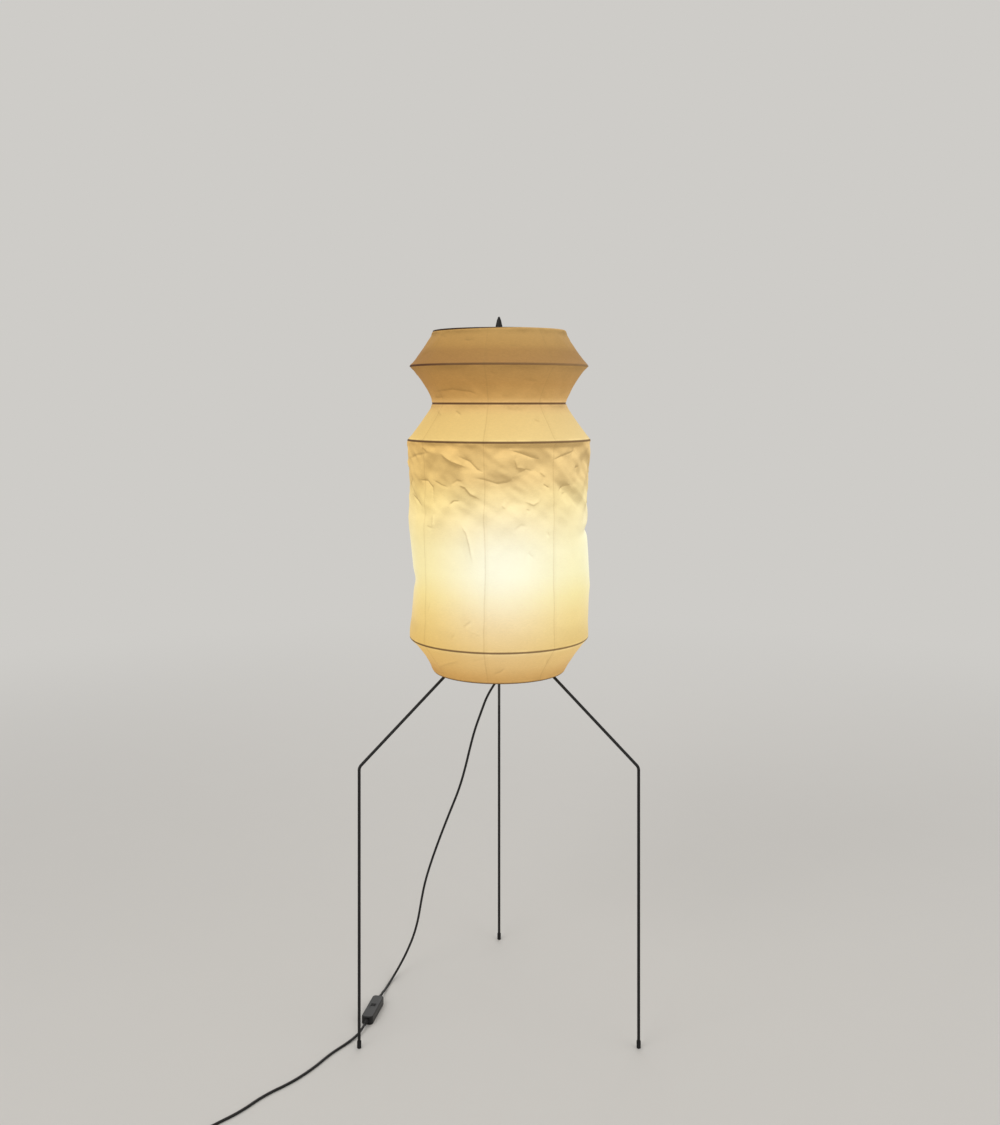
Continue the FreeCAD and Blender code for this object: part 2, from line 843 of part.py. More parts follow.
def make_tie():
    """Flat strap once round the coil's turns, at one place."""
    turned = (tie_at - coil_start) % 360
    outer = coil_radius + cord_r + tie_gap
    inner = coil_radius - coil_pitch * coil_turns / 2 - cord_r - tie_gap
    low = coil_lift - slip_fit
    high = coil_lift + cord_d + coil_pitch + tie_gap
    out, side = heading(tie_at), heading(tie_at + 90)
    centre = vec(*coil_centre, 0) - side * (tie_wide / 2)

    def loop(grow):
        corners = [(inner - grow, low - grow), (outer + grow, low - grow),
                   (outer + grow, high + grow), (inner - grow, high + grow)]
        points = [centre + out * r + up * z for r, z in corners]
        return Part.Face(Part.makePolygon(points + points[:1])).extrude(side * tie_wide)

    save("cord_tie", loop(tie_thick).cut(loop(0)))


# ---------------------------------------------------------------- switch on the cord

def rounded_block(length, width, corner, low, high):
    """Upright block with rounded corners, in the switch's own frame."""
    x, y = length / 2, width / 2
    block = Part.makeBox(length, width, high - low, FreeCAD.Vector(-x, -y, low))
    uprights = [edge for edge in block.Edges if abs(edge.tangentAt(0).z) > 0.9]
    return block.makeFillet(corner, uprights)


def block_at(size, centre):
    corner = FreeCAD.Vector(*(c - s / 2 for c, s in zip(centre, size)))
    return Part.makeBox(*size, corner)


def case_half(low, high, closed_at):
    """One half of the case, open at the joint between the halves."""
    outer = rounded_block(switch_length, switch_width, switch_corner, low, high)
    flat = [edge for edge in outer.Edges if edge.BoundBox.ZLength < 1e-6
            and abs(edge.BoundBox.ZMin - closed_at) < 1e-6]
    outer = outer.makeFillet(switch_edge, flat)
    floor = low + switch_wall if closed_at == low else low
    roof = high - switch_wall if closed_at == high else high
    inner = rounded_block(switch_length - 2 * switch_wall, switch_width - 2 * switch_wall,
                          switch_corner - switch_wall, floor, roof)
    half = outer.cut(inner)
    for side in (-1, 1):
        x = side * case_screw_spread / 2
        half = half.fuse(Part.makeCylinder(boss_d / 2, roof - floor,
                                           FreeCAD.Vector(x, 0, floor)))
        start = FreeCAD.Vector(side * (switch_length / 2 - switch_wall * 2), 0, switch_split)
        way = FreeCAD.Vector(side, 0, 0)
        half = half.cut(cylinder(nose_d + 2 * slip_fit, start, way, switch_wall * 3))
    return half.removeSplitter()


def make_switch():
    place = switch_place()
    top = switch_height
    bore = case_screw_d + 2 * slip_fit
    head_floor = case_screw_sunk + case_screw_head

    base = case_half(0.0, switch_split, 0.0)
    cover = case_half(switch_split, top, top)
    window = block_at((rocker_window, rocker_width + 2 * rocker_gap, 3 * switch_wall),
                      (0, 0, top))
    cover = cover.cut(window)
    axle_z = top - rocker_below
    lug_inner = rocker_width / 2 + lug_gap
    for side in (-1, 1):
        lug_top = top - switch_wall
        lug_bottom = axle_z - lug_below_axle
        lug = block_at((lug_wide, lug_thick, lug_top - lug_bottom),
                       (0, side * (lug_inner + lug_thick / 2), (lug_top + lug_bottom) / 2))
        cover = cover.fuse(lug)
    axle_hole = cylinder(rocker_axle_d + 2 * loose_fit,
                         FreeCAD.Vector(0, -axle_length, axle_z),
                         FreeCAD.Vector(0, 1, 0), 2 * axle_length)
    lug_room = block_at((2 * lug_wide, 2 * (lug_inner + lug_thick), 2 * lug_wide),
                        (0, 0, axle_z))
    cover = cover.cut(axle_hole.common(lug_room))
    screws = []
    for side in (-1, 1):
        x = side * case_screw_spread / 2
        under = FreeCAD.Vector(x, 0, 0)
        hole = Part.makeCylinder(bore / 2, case_screw_length + case_screw_sunk, under)
        head_room = Part.makeCylinder(case_screw_head_d / 2 + slip_fit, head_floor, under)
        base = base.cut(hole).cut(head_room)
        cover = cover.cut(hole)
        shank = Part.makeCylinder(case_screw_d / 2, case_screw_length, under)
        head = Part.makeCylinder(case_screw_head_d / 2, case_screw_head,
                                 FreeCAD.Vector(x, 0, case_screw_sunk))
        slot = block_at((case_screw_head_d, case_screw_slot, case_screw_head),
                        (x, 0, case_screw_sunk))
        below = Part.makeCylinder(case_screw_head_d, case_screw_sunk, under)
        screws.append(shank.fuse(head).cut(slot).cut(below))
    save("switch_base", base.transformed(place.toMatrix()))
    save("switch_cover", cover.transformed(place.toMatrix()))
    save("switch_screws", *[screw.transformed(place.toMatrix()) for screw in screws])

    for side, name in ((-1, "in"), (1, "out")):
        save("switch_sleeve_" + name, switch_sleeve(side).transformed(place.toMatrix()))
    terminals = []
    for side in (-1, 1):
        centre = (side * terminal_spread / 2, 0, switch_wall + terminal_size[2] / 2)
        terminal = block_at(terminal_size, centre)
        wire_hole = cylinder(terminal_bore, FreeCAD.Vector(-switch_length, 0, centre[2]),
                             FreeCAD.Vector(1, 0, 0), 2 * switch_length)
        terminals.append(terminal.cut(wire_hole).transformed(place.toMatrix()))
    save("switch_terminals", *terminals)
    save("switch_rocker", make_rocker(axle_z).transformed(place.toMatrix()))


def switch_sleeve(side):
    """Tapered sleeve at one end, with a collar held between the halves of the case."""
    way = FreeCAD.Vector(side, 0, 0)
    inside = switch_length / 2 - collar_held
    start = way * inside + up * switch_split
    outside = FreeCAD.Vector(side * switch_length / 2, 0, switch_split)
    collar = cylinder(nose_d, start, way, switch_length / 2 - inside)
    nose = Part.makeCone(nose_d / 2, nose_end_d / 2, nose_length, outside, way)
    return collar.fuse(nose).removeSplitter()


def make_rocker(axle_z):
    """Rocker in the ON position, tipped towards the near end of the switch."""
    r = rocker_radius
    end_x = rocker_end
    end_z = math.sqrt(r ** 2 - end_x ** 2)
    low_z = -rocker_skirt
    low_x = math.sqrt(r ** 2 - low_z ** 2)
    valley = end_z - rocker_dip

    def at(x, z):
        return FreeCAD.Vector(x, -rocker_width / 2, z)

    edges = [
        Part.LineSegment(at(-end_x, end_z), at(0, valley)).toShape(),
        Part.LineSegment(at(0, valley), at(end_x, end_z)).toShape(),
        Part.Arc(at(end_x, end_z), at(r, 0), at(low_x, low_z)).toShape(),
        Part.LineSegment(at(low_x, low_z), at(-low_x, low_z)).toShape(),
        Part.Arc(at(-low_x, low_z), at(-r, 0), at(-end_x, end_z)).toShape(),
    ]
    body = Part.Face(Part.Wire(edges)).extrude(FreeCAD.Vector(0, rocker_width, 0))
    axle = cylinder(rocker_axle_d, FreeCAD.Vector(0, -axle_length / 2, 0),
                    FreeCAD.Vector(0, 1, 0), axle_length)
    rocker = body.fuse(axle)
    rocker.rotate(FreeCAD.Vector(0, 0, 0), FreeCAD.Vector(0, 1, 0), rocker_tilt)
    rocker.translate(FreeCAD.Vector(0, 0, axle_z))
    return rocker


# ---------------------------------------------------------------- plug

def make_plug(sleeve_end, way):
    """Plug whose sleeve meets the cord at sleeve_end and whose pins point along way."""
    side = up.cross(way)
    back = sleeve_end + way * plug_relief_length
    front = back + way * plug_length

    sleeve = Part.makeCone(cord_r + plug_relief_wall, plug_relief_d / 2, plug_relief_length,
                           sleeve_end, way)
    save("plug_sleeve", sleeve)

    def section(centre, wide, thick):
        """Flat-sided outline with cut corners, square to the plug's axis."""
        y, z = wide / 2, thick / 2
        cut = thick * plug_chamfer
        outline = [(-y, z - cut), (-y + cut, z), (y - cut, z), (y, z - cut),
                   (y, cut - z), (y - cut, -z), (cut - y, -z), (-y, cut - z)]
        points = [centre + side * a + up * b for a, b in outline]
        return Part.makePolygon(points + points[:1])

    sections = [section(back, plug_back, plug_back_thick),
                section(back + way * plug_grip_at, plug_grip, plug_grip_thick),
                section(front, plug_front, plug_thick)]
    body = Part.makeLoft(sections, True, True)
    pins = []
    for hand in (-1, 1):
        pin_foot = front + side * (hand * plug_pin_pitch / 2)
        seat = pin_foot - way * plug_pin_seat
        body = body.cut(cylinder(plug_pin_root_d, seat, way, plug_pin_seat))
        pin = cylinder(plug_pin_d, pin_foot, way, plug_pin_length)
        tip = [edge for edge in pin.Edges if isinstance(edge.Curve, Part.Circle)
               and (edge.Curve.Center - pin_foot).Length > 1]
        pin = pin.makeFillet(plug_pin_round, tip)
        pins.append(pin.fuse(cylinder(plug_pin_root_d, seat, way, plug_pin_seat)))
        print(f"plug pin foot: {pin_foot.x:.2f} {pin_foot.y:.2f} {pin_foot.z:.2f}")
    save("plug_body", body)
    save("plug_pins", *pins)


# ---------------------------------------------------------------- the whole lamp

make_hub()
make_screws()
for leg_name, leg_compass in leg_names.items():
    make_leg(leg_name, leg_compass)
    make_foot(leg_name, leg_compass)
make_mast()
make_nipple()
make_nuts()
make_holder_cap()
make_holder_shell()
make_holder_insides()
make_lead_in()
make_relief()
make_bulb()
make_rings()
make_bands()
make_spider()
make_finial()
make_switch()

coil_in, arriving, coil_out, leaving, coil_length = make_coil()
make_tie()
drop_start = [vec(bulb_x, 0, cord_exit), vec(bulb_x, 0, cord_exit - straight_out)]
drop_end = [switch_cord_end(-1, straight_in), switch_cord_end(-1)]
drop_length = cord_piece("cord_drop", drop_start + [vec(*p) for p in drop_route] + drop_end)
run_start = [switch_cord_end(1), switch_cord_end(1, straight_in)]
run_end = [coil_in - arriving * straight_in, coil_in]
run_length = cord_piece("cord_run", run_start + [vec(*p) for p in run_route] + run_end)
plug_end = coil_out + leaving * plug_lead
plug_end.z = plug_thick / 2
third = leaving * (plug_lead / 3)
tail_length = cord_piece("cord_tail", [coil_out, coil_out + third, plug_end - third, plug_end])
make_plug(plug_end, leaving)
print(f"plug points along {leaving.x:.6f} {leaving.y:.6f} {leaving.z:.6f}")
print("ring heights:", " ".join(f"{height:.2f}" for name, height, radius in rings))
print(f"hub {hub_bottom:.2f} to {hub_top:.2f}, mast x {mast_x:.2f}, bulb top {bulb_top:.2f}, "
      f"cord exit {cord_exit:.2f}")
on_cord = switch_length + 2 * nose_length
total = drop_length + run_length + coil_length + tail_length + on_cord
print(f"cord length in all: {total:.0f} mm; lamp axis at y = {axis_y:.2f}")
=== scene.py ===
import json
import math
import random

import bmesh
import bpy
from mathutils import Matrix, Vector, noise


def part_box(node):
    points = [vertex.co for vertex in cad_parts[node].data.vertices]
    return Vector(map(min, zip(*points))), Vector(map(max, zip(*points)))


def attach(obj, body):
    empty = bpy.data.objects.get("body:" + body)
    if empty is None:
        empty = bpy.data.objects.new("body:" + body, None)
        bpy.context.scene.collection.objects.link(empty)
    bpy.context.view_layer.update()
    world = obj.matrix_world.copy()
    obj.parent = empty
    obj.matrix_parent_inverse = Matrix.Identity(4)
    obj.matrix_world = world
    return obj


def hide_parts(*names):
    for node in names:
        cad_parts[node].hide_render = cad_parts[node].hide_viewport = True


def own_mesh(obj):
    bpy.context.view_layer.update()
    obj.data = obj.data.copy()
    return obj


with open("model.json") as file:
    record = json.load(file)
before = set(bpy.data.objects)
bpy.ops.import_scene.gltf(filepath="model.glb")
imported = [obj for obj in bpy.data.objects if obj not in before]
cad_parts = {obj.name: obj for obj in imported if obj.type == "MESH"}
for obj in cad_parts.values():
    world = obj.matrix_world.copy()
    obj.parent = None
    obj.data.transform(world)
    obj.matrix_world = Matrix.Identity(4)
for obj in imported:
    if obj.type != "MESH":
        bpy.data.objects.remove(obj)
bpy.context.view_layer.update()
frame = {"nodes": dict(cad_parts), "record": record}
nodes = frame["nodes"]
ringLow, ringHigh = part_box("ring_upper")
lampAxis = Vector(((ringLow.x + ringHigh.x) / 2, (ringLow.y + ringHigh.y) / 2, 0))  # on the floor
print("frame loaded, lamp axis at", tuple(round(c, 4) for c in lampAxis))


# metres, +Z up, like the frame; colours are sRGB numbers from 0 to 255 unless a note says otherwise
def linear(red, green, blue):
    parts = [part / 255 for part in (red, green, blue)]
    return tuple(c / 12.92 if c <= 0.04045 else ((c + 0.055) / 1.055) ** 2.4 for c in parts)


def solid(colour):
    return (*colour, 1.0)


camera = {
    "distance": 2.524,      # from the lamp's axis, looking along +Y
    "eyeHeight": 1.277,
    "aside": 0.0021,        # puts the axis one pixel left of the middle
    "focalPixels": 1200.0,
    "imageHeight": 1125.0,
    "horizonPixel": 400.0,
    "sensor": 36.0,
}


def makeCamera():
    data = bpy.data.cameras.new("camera")
    data.sensor_width = camera["sensor"]
    data.lens = camera["focalPixels"] * camera["sensor"] / camera["imageHeight"]
    data.shift_y = camera["horizonPixel"] / camera["imageHeight"] - 0.5
    data.clip_end = 200
    made = bpy.data.objects.new("camera", data)
    made.location = (lampAxis.x + camera["aside"], lampAxis.y - camera["distance"], camera["eyeHeight"])
    made.rotation_euler = (math.radians(90), 0, 0)
    bpy.context.scene.collection.objects.link(made)
    bpy.context.scene.camera = made


makeCamera()
print("camera made")


# Sockets as numbers: an expression on them adds its Math nodes.
class Wire:
    def __init__(self, recipe, socket):
        self.recipe = recipe
        self.socket = socket

    def does(self, operation, *others):
        values = dict(enumerate((self, *others)))
        return self.recipe.add("ShaderNodeMath", {"operation": operation}, values)

    def __add__(self, other):
        return self.does("ADD", other)

    def __sub__(self, other):
        return self.does("SUBTRACT", other)

    def __rsub__(self, other):
        return self.does("MULTIPLY_ADD", -1.0, other)

    def __mul__(self, other):
        return self.does("MULTIPLY", other)

    def __truediv__(self, other):
        return self.does("DIVIDE", other)

    def size(self):
        return self.does("ABSOLUTE")

    def clamped(self):
        return self.does("MAXIMUM", 0.0).does("MINIMUM", 1.0)

    def fade(self, low, high):  # 0 below low, 1 above high, smooth between; low may be the larger
        return self.recipe.add(
            "ShaderNodeMapRange",
            {"interpolation_type": "SMOOTHSTEP", "clamp": True},
            {"Value": self, "From Min": low, "From Max": high},
        )

    __radd__ = __add__
    __rmul__ = __mul__


class Recipe:  # one material and the nodes behind its shader
    def __init__(self, name):
        self.material = bpy.data.materials.new(name)
        self.material.use_nodes = True
        self.nodes = self.material.node_tree.nodes
        self.links = self.material.node_tree.links
        self.shader = self.nodes["Principled BSDF"]

    def add(self, kind, settings=None, values=None, out=0):
        made = self.nodes.new(kind)
        for key, value in (settings or {}).items():
            if key == "stops":
                self.setStops(made.color_ramp, value)
            else:
                setattr(made, key, value)
        for key, value in (values or {}).items():
            self.feed(made.inputs[key], value)
        return Wire(self, made.outputs[out])

    def setStops(self, ramp, stops):
        while len(ramp.elements) < len(stops):
            ramp.elements.new(0.5)
        for element, (place, colour) in zip(ramp.elements, stops):
            element.position = place
            element.color = solid(colour)

    def feed(self, socket, value):
        if isinstance(value, Wire):
            self.links.new(value.socket, socket)
        else:
            socket.default_value = value

    def set(self, **values):  # baseColor goes to the shader's Base Color
        for key, value in values.items():
            words = "".join(" " + c if c.isupper() else c for c in key).title()
            words = words.replace("Ior", "IOR")
            self.feed(self.shader.inputs[words], value)

    def place(self, attribute=None):
        if attribute:
            return self.add("ShaderNodeAttribute", {"attribute_name": attribute}, out=1)
        return self.add("ShaderNodeTexCoord", out=3)

    def axes(self, vector):
        split = self.add("ShaderNodeSeparateXYZ", values={0: vector})
        return [Wire(self, split.socket.node.outputs[k]) for k in range(3)]

    def stretch(self, vector, factors):
        return self.add("ShaderNodeVectorMath", {"operation": "MULTIPLY"}, {0: vector, 1: factors})

    def noise(self, vector, scale, detail=4.0, roughness=0.55, distortion=0.0):
        values = {"Vector": vector, "Scale": scale, "Detail": detail, "Roughness": roughness,
                  "Distortion": distortion}
        return self.add("ShaderNodeTexNoise", values=values)

    def grey(self, value):
        return self.add("ShaderNodeCombineXYZ", values={0: value, 1: value, 2: value})

    def mix(self, factor, first, second, how="MIX"):
        settings = {"data_type": "RGBA", "blend_type": how, "clamp_factor": True}
        return self.add("ShaderNodeMix", settings, {0: factor, 6: first, 7: second}, out=2)

    def ramp(self, value, stops):
        return self.add("ShaderNodeValToRGB", {"stops": stops}, {"Fac": value})

    def bump(self, height, strength, distance):
        return self.add("ShaderNodeBump",
                        values={"Height": height, "Strength": strength, "Distance": distance})


def smoothFaces(mesh):
    for face in mesh.polygons:
        face.use_smooth = True


def link(name, data, material):
    made = bpy.data.objects.new(name, data)
    bpy.context.scene.collection.objects.link(made)
    data.materials.append(material)
    return made


darkGloss = 0.35  # specular level of the black coatings, plastic and rubber

cordFinish = {
    "colour": (14, 13, 13),
    "scuffSize": 45.0,
    "scuffFrom": 0.45,
    "scuffFull": 0.75,
    "scuffPaler": 2.1,          # times the colour
    "roughness": 0.42,
    "scuffRoughness": 0.18,
    "grain": 900.0,
    "grainStrength": 0.35,
    "deep": 0.00005,
}


def makeCordMaterial():
    paint = Recipe("cordJacket")
    place = paint.place()
    grain = paint.noise(place, cordFinish["grain"], 3)
    scuffs = paint.noise(place, cordFinish["scuffSize"], 5, 0.6)
    dark = linear(*cordFinish["colour"])
    paler = tuple(cordFinish["scuffPaler"] * c for c in dark)
    scuffed = scuffs.fade(cordFinish["scuffFrom"], cordFinish["scuffFull"])
    paint.set(
        baseColor=paint.mix(scuffed, solid(dark), solid(paler)),
        roughness=cordFinish["roughness"] + cordFinish["scuffRoughness"] * scuffs,
        specularIorLevel=darkGloss,
        normal=paint.bump(grain, cordFinish["grainStrength"], cordFinish["deep"]),
    )
    return paint.material


# The cord: the route's points are from the lamp's axis and the floor
cord = {
    "diameter": 0.005,
    "length": 2.119,
    "exit": (0.016, 0.0, 0.75201),
    "belowExit": (0.016, 0.0, 0.73301),
    "dropRoute": [
        (0.012, 0.004, 0.713), (0.002, 0.011, 0.693), (-0.012, 0.019, 0.672),
        (-0.027, 0.028, 0.644), (-0.038, 0.035, 0.612), (-0.052, 0.042, 0.572),
        (-0.063, 0.050, 0.528), (-0.073, 0.059, 0.484), (-0.086, 0.068, 0.437),
        (-0.107, 0.078, 0.383), (-0.128, 0.089, 0.327), (-0.148, 0.100, 0.269),
        (-0.163, 0.115, 0.217), (-0.172, 0.131, 0.170), (-0.180, 0.145, 0.121),
        (-0.191, 0.155, 0.080), (-0.205, 0.157, 0.046), (-0.220, 0.146, 0.020),
        (-0.234, 0.119, 0.005), (-0.243, 0.085, 0.0025), (-0.2465, 0.063, 0.0045),
    ],
    "runRoute": [
        (-0.283, -0.119, 0.0045), (-0.301, -0.147, 0.0025), (-0.328, -0.184, 0.0025),
        (-0.353, -0.234, 0.0025), (-0.387, -0.283, 0.0025), (-0.430, -0.324, 0.0025),
        (-0.463, -0.376, 0.0025), (-0.502, -0.415, 0.0025),
    ],
    "straightIn": 0.015,        # square into a sleeve of the switch, or into the coil
    "switchCentre": (-0.2624, -0.0275, 0.0085),
    "switchHeading": 259.8,
    "switchReach": 0.059,       # from its middle to the tip of each sleeve
    "coilCentre": (-0.513, -0.483),
    "coilRadius": 0.032,
    "coilGap": 0.0005,          # between the strands
    "coilStart": 143.0,         # compass angles where the cord joins and leaves it
    "coilEnd": 270.0,
    "coilTurns": 3,
    "coilClimb": 180.0,         # how far it turns while it climbs on top of itself
    "coilLift": 0.001,
    "pointsPerTurn": 16,
    "lead": 0.036,              # from the coil to the plug's sleeve
    "plugHeight": 0.00685,
}


def compass(angle):
    return Vector((math.cos(math.radians(angle)), math.sin(math.radians(angle)), 0))


coilSweep = 360 * cord["coilTurns"] + cord["coilEnd"] - cord["coilStart"]
coilPitch = cord["diameter"] + cord["coilGap"]


def coilPoint(turned):  # inwards on the floor, up half a turn's climb, outwards on top
    inward = coilPitch * min(turned, coilSweep - turned) / 360
    part = min(max((turned - coilSweep / 2) / cord["coilClimb"] + 0.5, 0.0), 1.0)
    rise = coilPitch * (part - math.sin(2 * math.pi * part) / (2 * math.pi))
    middle = Vector((*cord["coilCentre"], cord["diameter"] / 2 + cord["coilLift"] + rise))
    return middle + compass(cord["coilStart"] + turned) * (cord["coilRadius"] - inward)


def coilEnd(angle, drift):  # the cord's direction at an end of the coil
    slope = coilPitch / math.radians(360) / cord["coilRadius"]
    return (compass(angle + 90) + compass(angle) * drift * slope).normalized()


cordTie = {
    "angle": 20.0,              # where on the coil
    "wide": 0.005,
    "thick": 0.0008,
    "gap": 0.0001,              # between strap and strands
    "rounding": 0.0002,
    "corners": 32,              # round each strand
}


def makeTie():  # a strap pulled tight round the coil's strands
    across = compass(cordTie["angle"] + 90)
    lying = across.to_track_quat("Z", "Y").to_matrix().to_4x4()
    radius = cord["diameter"] / 2 + cordTie["gap"]
    bm = bmesh.new()
    turned = (cordTie["angle"] - cord["coilStart"]) % 360
    while turned < coilSweep:
        strand = coilPoint(turned)
        flat = Vector((strand.x - cord["coilCentre"][0], strand.y - cord["coilCentre"][1], 0))
        strand -= flat * (1 - math.cos(math.pi / cord["pointsPerTurn"]))  # the cord cuts inside its points
        bmesh.ops.create_cone(bm, segments=cordTie["corners"], depth=cordTie["wide"],
                              radius1=radius, radius2=radius,
                              matrix=Matrix.Translation(strand + lampAxis) @ lying)
        turned += 360
    hull = bmesh.ops.convex_hull(bm, input=bm.verts)
    bmesh.ops.delete(bm, geom=list({*hull["geom_interior"], *hull["geom_unused"]}), context="VERTS")
    bm.normal_update()
    ends = [face for face in bm.faces if abs(face.normal.dot(across)) > 0.9]
    bmesh.ops.delete(bm, geom=ends, context="FACES_ONLY")
    bmesh.ops.delete(bm, geom=[edge for edge in bm.edges if not edge.link_faces], context="EDGES")
    mesh = bpy.data.meshes.new("cordTie")
    bm.to_mesh(mesh)
    bm.free()
    smoothFaces(mesh)
    made = link("cordTie", mesh, coated("tieStrap"))
    strap = made.modifiers.new("strap", "SOLIDIFY")
    strap.thickness = cordTie["thick"]
    strap.offset = 1
    edge = made.modifiers.new("edge", "BEVEL")
    edge.width = cordTie["rounding"]
    edge.segments = 2
    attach(made, "stand")
    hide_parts("cord_tie")
    return made


def makeCord():
    along = compass(cord["switchHeading"])
    middle = Vector(cord["switchCentre"])
    reach, straight = cord["switchReach"], cord["straightIn"]
    count = round(coilSweep / 360 * cord["pointsPerTurn"])
    coil = [coilPoint(coilSweep * k / count) for k in range(count + 1)]
    arriving, leaving = coilEnd(cord["coilStart"], -1), coilEnd(cord["coilEnd"], 1)
    coilIn, coilOut = coil[0] - arriving * cord["diameter"], coil[-1] + leaving * cord["diameter"]
    plugEnd = coilOut + leaving * cord["lead"]
    plugEnd.z = cord["plugHeight"]
    points = [Vector(cord["exit"]), Vector(cord["belowExit"])]
    points += [Vector(p) for p in cord["dropRoute"]]
    points += [middle - along * (reach + straight), middle - along * reach]
    points += [middle + along * reach, middle + along * (reach + straight)]
    points += [Vector(p) for p in cord["runRoute"]]
    points += [coilIn - arriving * straight, coilIn, *coil, coilOut]
    points += [coilOut + leaving * cord["lead"] / 3, plugEnd - leaving * cord["lead"] / 3, plugEnd]
    curve = bpy.data.curves.new("cord", "CURVE")
    curve.dimensions = "3D"
    spline = curve.splines.new("NURBS")
    spline.points.add(len(points) - 1)
    for target, point in zip(spline.points, points):
        target.co = (*(point + lampAxis), 1.0)
    spline.order_u = 3
    spline.use_endpoint_u = True
    spline.resolution_u = 8
    curve.bevel_depth = cord["diameter"] / 2
    curve.bevel_resolution = 3
    curve.use_fill_caps = True
    made = link("cord", curve, makeCordMaterial())
    onCord = ["switch_base", "switch_cover", "switch_rocker", "switch_screws", "switch_terminals",
              "switch_sleeve_in", "switch_sleeve_out", "plug_body", "plug_pins", "plug_sleeve"]
    tuple(points[0] + lampAxis)
    [nodes[name] for name in onCord] + [makeTie()]
    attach(made, "stand")
    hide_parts("cord_drop", "cord_run", "cord_coil", "cord_tail")


coats = {
    "tieStrap": {"colour": (15, 15, 15), "rough": 0.45, "grain": 1700.0, "deep": 0.00004, "wear": 0.2},
    "powderCoat": {"colour": (15, 14, 13), "rough": 0.5, "grain": 1500.0, "deep": 0.00006, "wear": 0.22},
    "ringWire": {"colour": (50, 30, 18), "rough": 0.45, "grain": 1300.0, "deep": 0.00005, "wear": 0.35},
    "blackPlastic": {"colour": (15, 15, 15), "rough": 0.38, "grain": 1900.0, "deep": 0.00004, "wear": 0.2},
    "blackRubber": {"colour": (17, 16, 16), "rough": 0.72, "grain": 800.0, "deep": 0.00008, "wear": 0.3},
}
patchSize = 38.0  # of the worn patches


def coated(name):
    coat = coats[name]
    paint = Recipe(name)
    place = paint.place()
    fine = paint.noise(place, coat["grain"], 4)
    patches = paint.noise(place, patchSize, 5, 0.6)
    base, wear = linear(*coat["colour"]), coat["wear"]
    lighter = solid(tuple(min(1.0, c * (1 + 4 * wear) + 0.01 * wear) for c in base))
    paint.set(
        baseColor=paint.mix(patches.fade(0.42, 0.78) * wear, solid(base), lighter),
        roughness=(coat["rough"] - 0.06) + 0.12 * patches + 0.06 * fine,
        specularIorLevel=darkGloss,
        normal=paint.bump(fine, 0.5, coat["deep"]),
    )
    return paint.material


makeCord()
print("cord made")


metals = {  # brushed: how fine the lines are along x, y and z
    "zincPlate": {"colour": (196, 196, 190), "rough": 0.3, "brushed": (900, 900, 60)},
    "nickelPlate": {"colour": (214, 208, 198), "rough": 0.18, "brushed": (60, 60, 1500)},
    "brass": {"colour": (212, 178, 110), "rough": 0.28, "brushed": (500, 500, 900)},
}
spotSize = 60.0  # of the dull spots
spotDarker = 0.7


def shinyMetal(name):
    metal = metals[name]
    paint = Recipe(name)
    place = paint.place()
    lines = paint.noise(paint.stretch(place, metal["brushed"]), 1.0, 3)
    spots = paint.noise(place, spotSize, 5)
    base = linear(*metal["colour"])
    dull = tuple(spotDarker * c for c in base)
    paint.set(
        baseColor=paint.mix(spots.fade(0.4, 0.8) * 0.5, solid(base), solid(dull)),
        roughness=metal["rough"] + 0.12 * spots,
        metallic=1.0,
        normal=paint.bump(lines, 0.25, 0.00004),
    )
    return paint.material


bulbGlass = {
    "colours": ((108, 105, 98), (118, 115, 108)),   # of the coating, under the glow
    "cloudSize": 90.0,
    "roughness": 0.25,
    "glow": [(0.0, (255, 214, 150)), (0.3, (255, 240, 205)), (0.6, (255, 250, 232)), (1.0, (255, 246, 218))],
}


def glowingGlass():
    paint = Recipe("opalGlass")
    x, y, z = paint.axes(paint.place())
    low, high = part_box("bulb_glass")
    up = ((z - low.z) / (high.z - low.z)).clamped()
    cloud = paint.noise(paint.place(), bulbGlass["cloudSize"], 3)
    first, second = (solid(linear(*colour)) for colour in bulbGlass["colours"])
    paint.set(
        baseColor=paint.mix(cloud, first, second),
        roughness=bulbGlass["roughness"] + 0.1 * cloud,
        emissionColor=paint.ramp(up, [(v, linear(*colour)) for v, colour in bulbGlass["glow"]]),
        emissionStrength=1.0,
    )
    return paint.material


stemGlass = {
    "colours": ((236, 242, 238), (246, 248, 246)),
    "streaks": (300, 300, 40),
    "roughness": 0.04,
    "clear": 0.9,
    "ior": 1.5,
}


def clearGlass():
    paint = Recipe("clearGlass")
    streaks = paint.noise(paint.stretch(paint.place(), stemGlass["streaks"]), 1.0, 3)
    first, second = (solid(linear(*colour)) for colour in stemGlass["colours"])
    paint.set(
        baseColor=paint.mix(streaks, first, second),
        roughness=stemGlass["roughness"] + 0.05 * streaks,
        transmissionWeight=stemGlass["clear"],
        ior=stemGlass["ior"],
    )
    return paint.material


steatite = {"colours": ((232, 226, 212), (214, 206, 190)), "toneSize": 80.0, "grain": 700.0, "roughness": 0.6}


def ceramic():
    paint = Recipe("ceramic")
    place = paint.place()
    grain = paint.noise(place, steatite["grain"], 5)
    tone = paint.noise(place, steatite["toneSize"], 4)
    first, second = (solid(linear(*colour)) for colour in steatite["colours"])
    paint.set(
        baseColor=paint.mix(tone, first, second),
        roughness=steatite["roughness"] + 0.2 * grain,
        normal=paint.bump(grain, 0.4, 0.0001),
    )
    return paint.material


filament = {"colour": (255, 214, 120), "glow": ((255, 200, 110), (255, 244, 200)), "stripes": (1, 1, 400)}


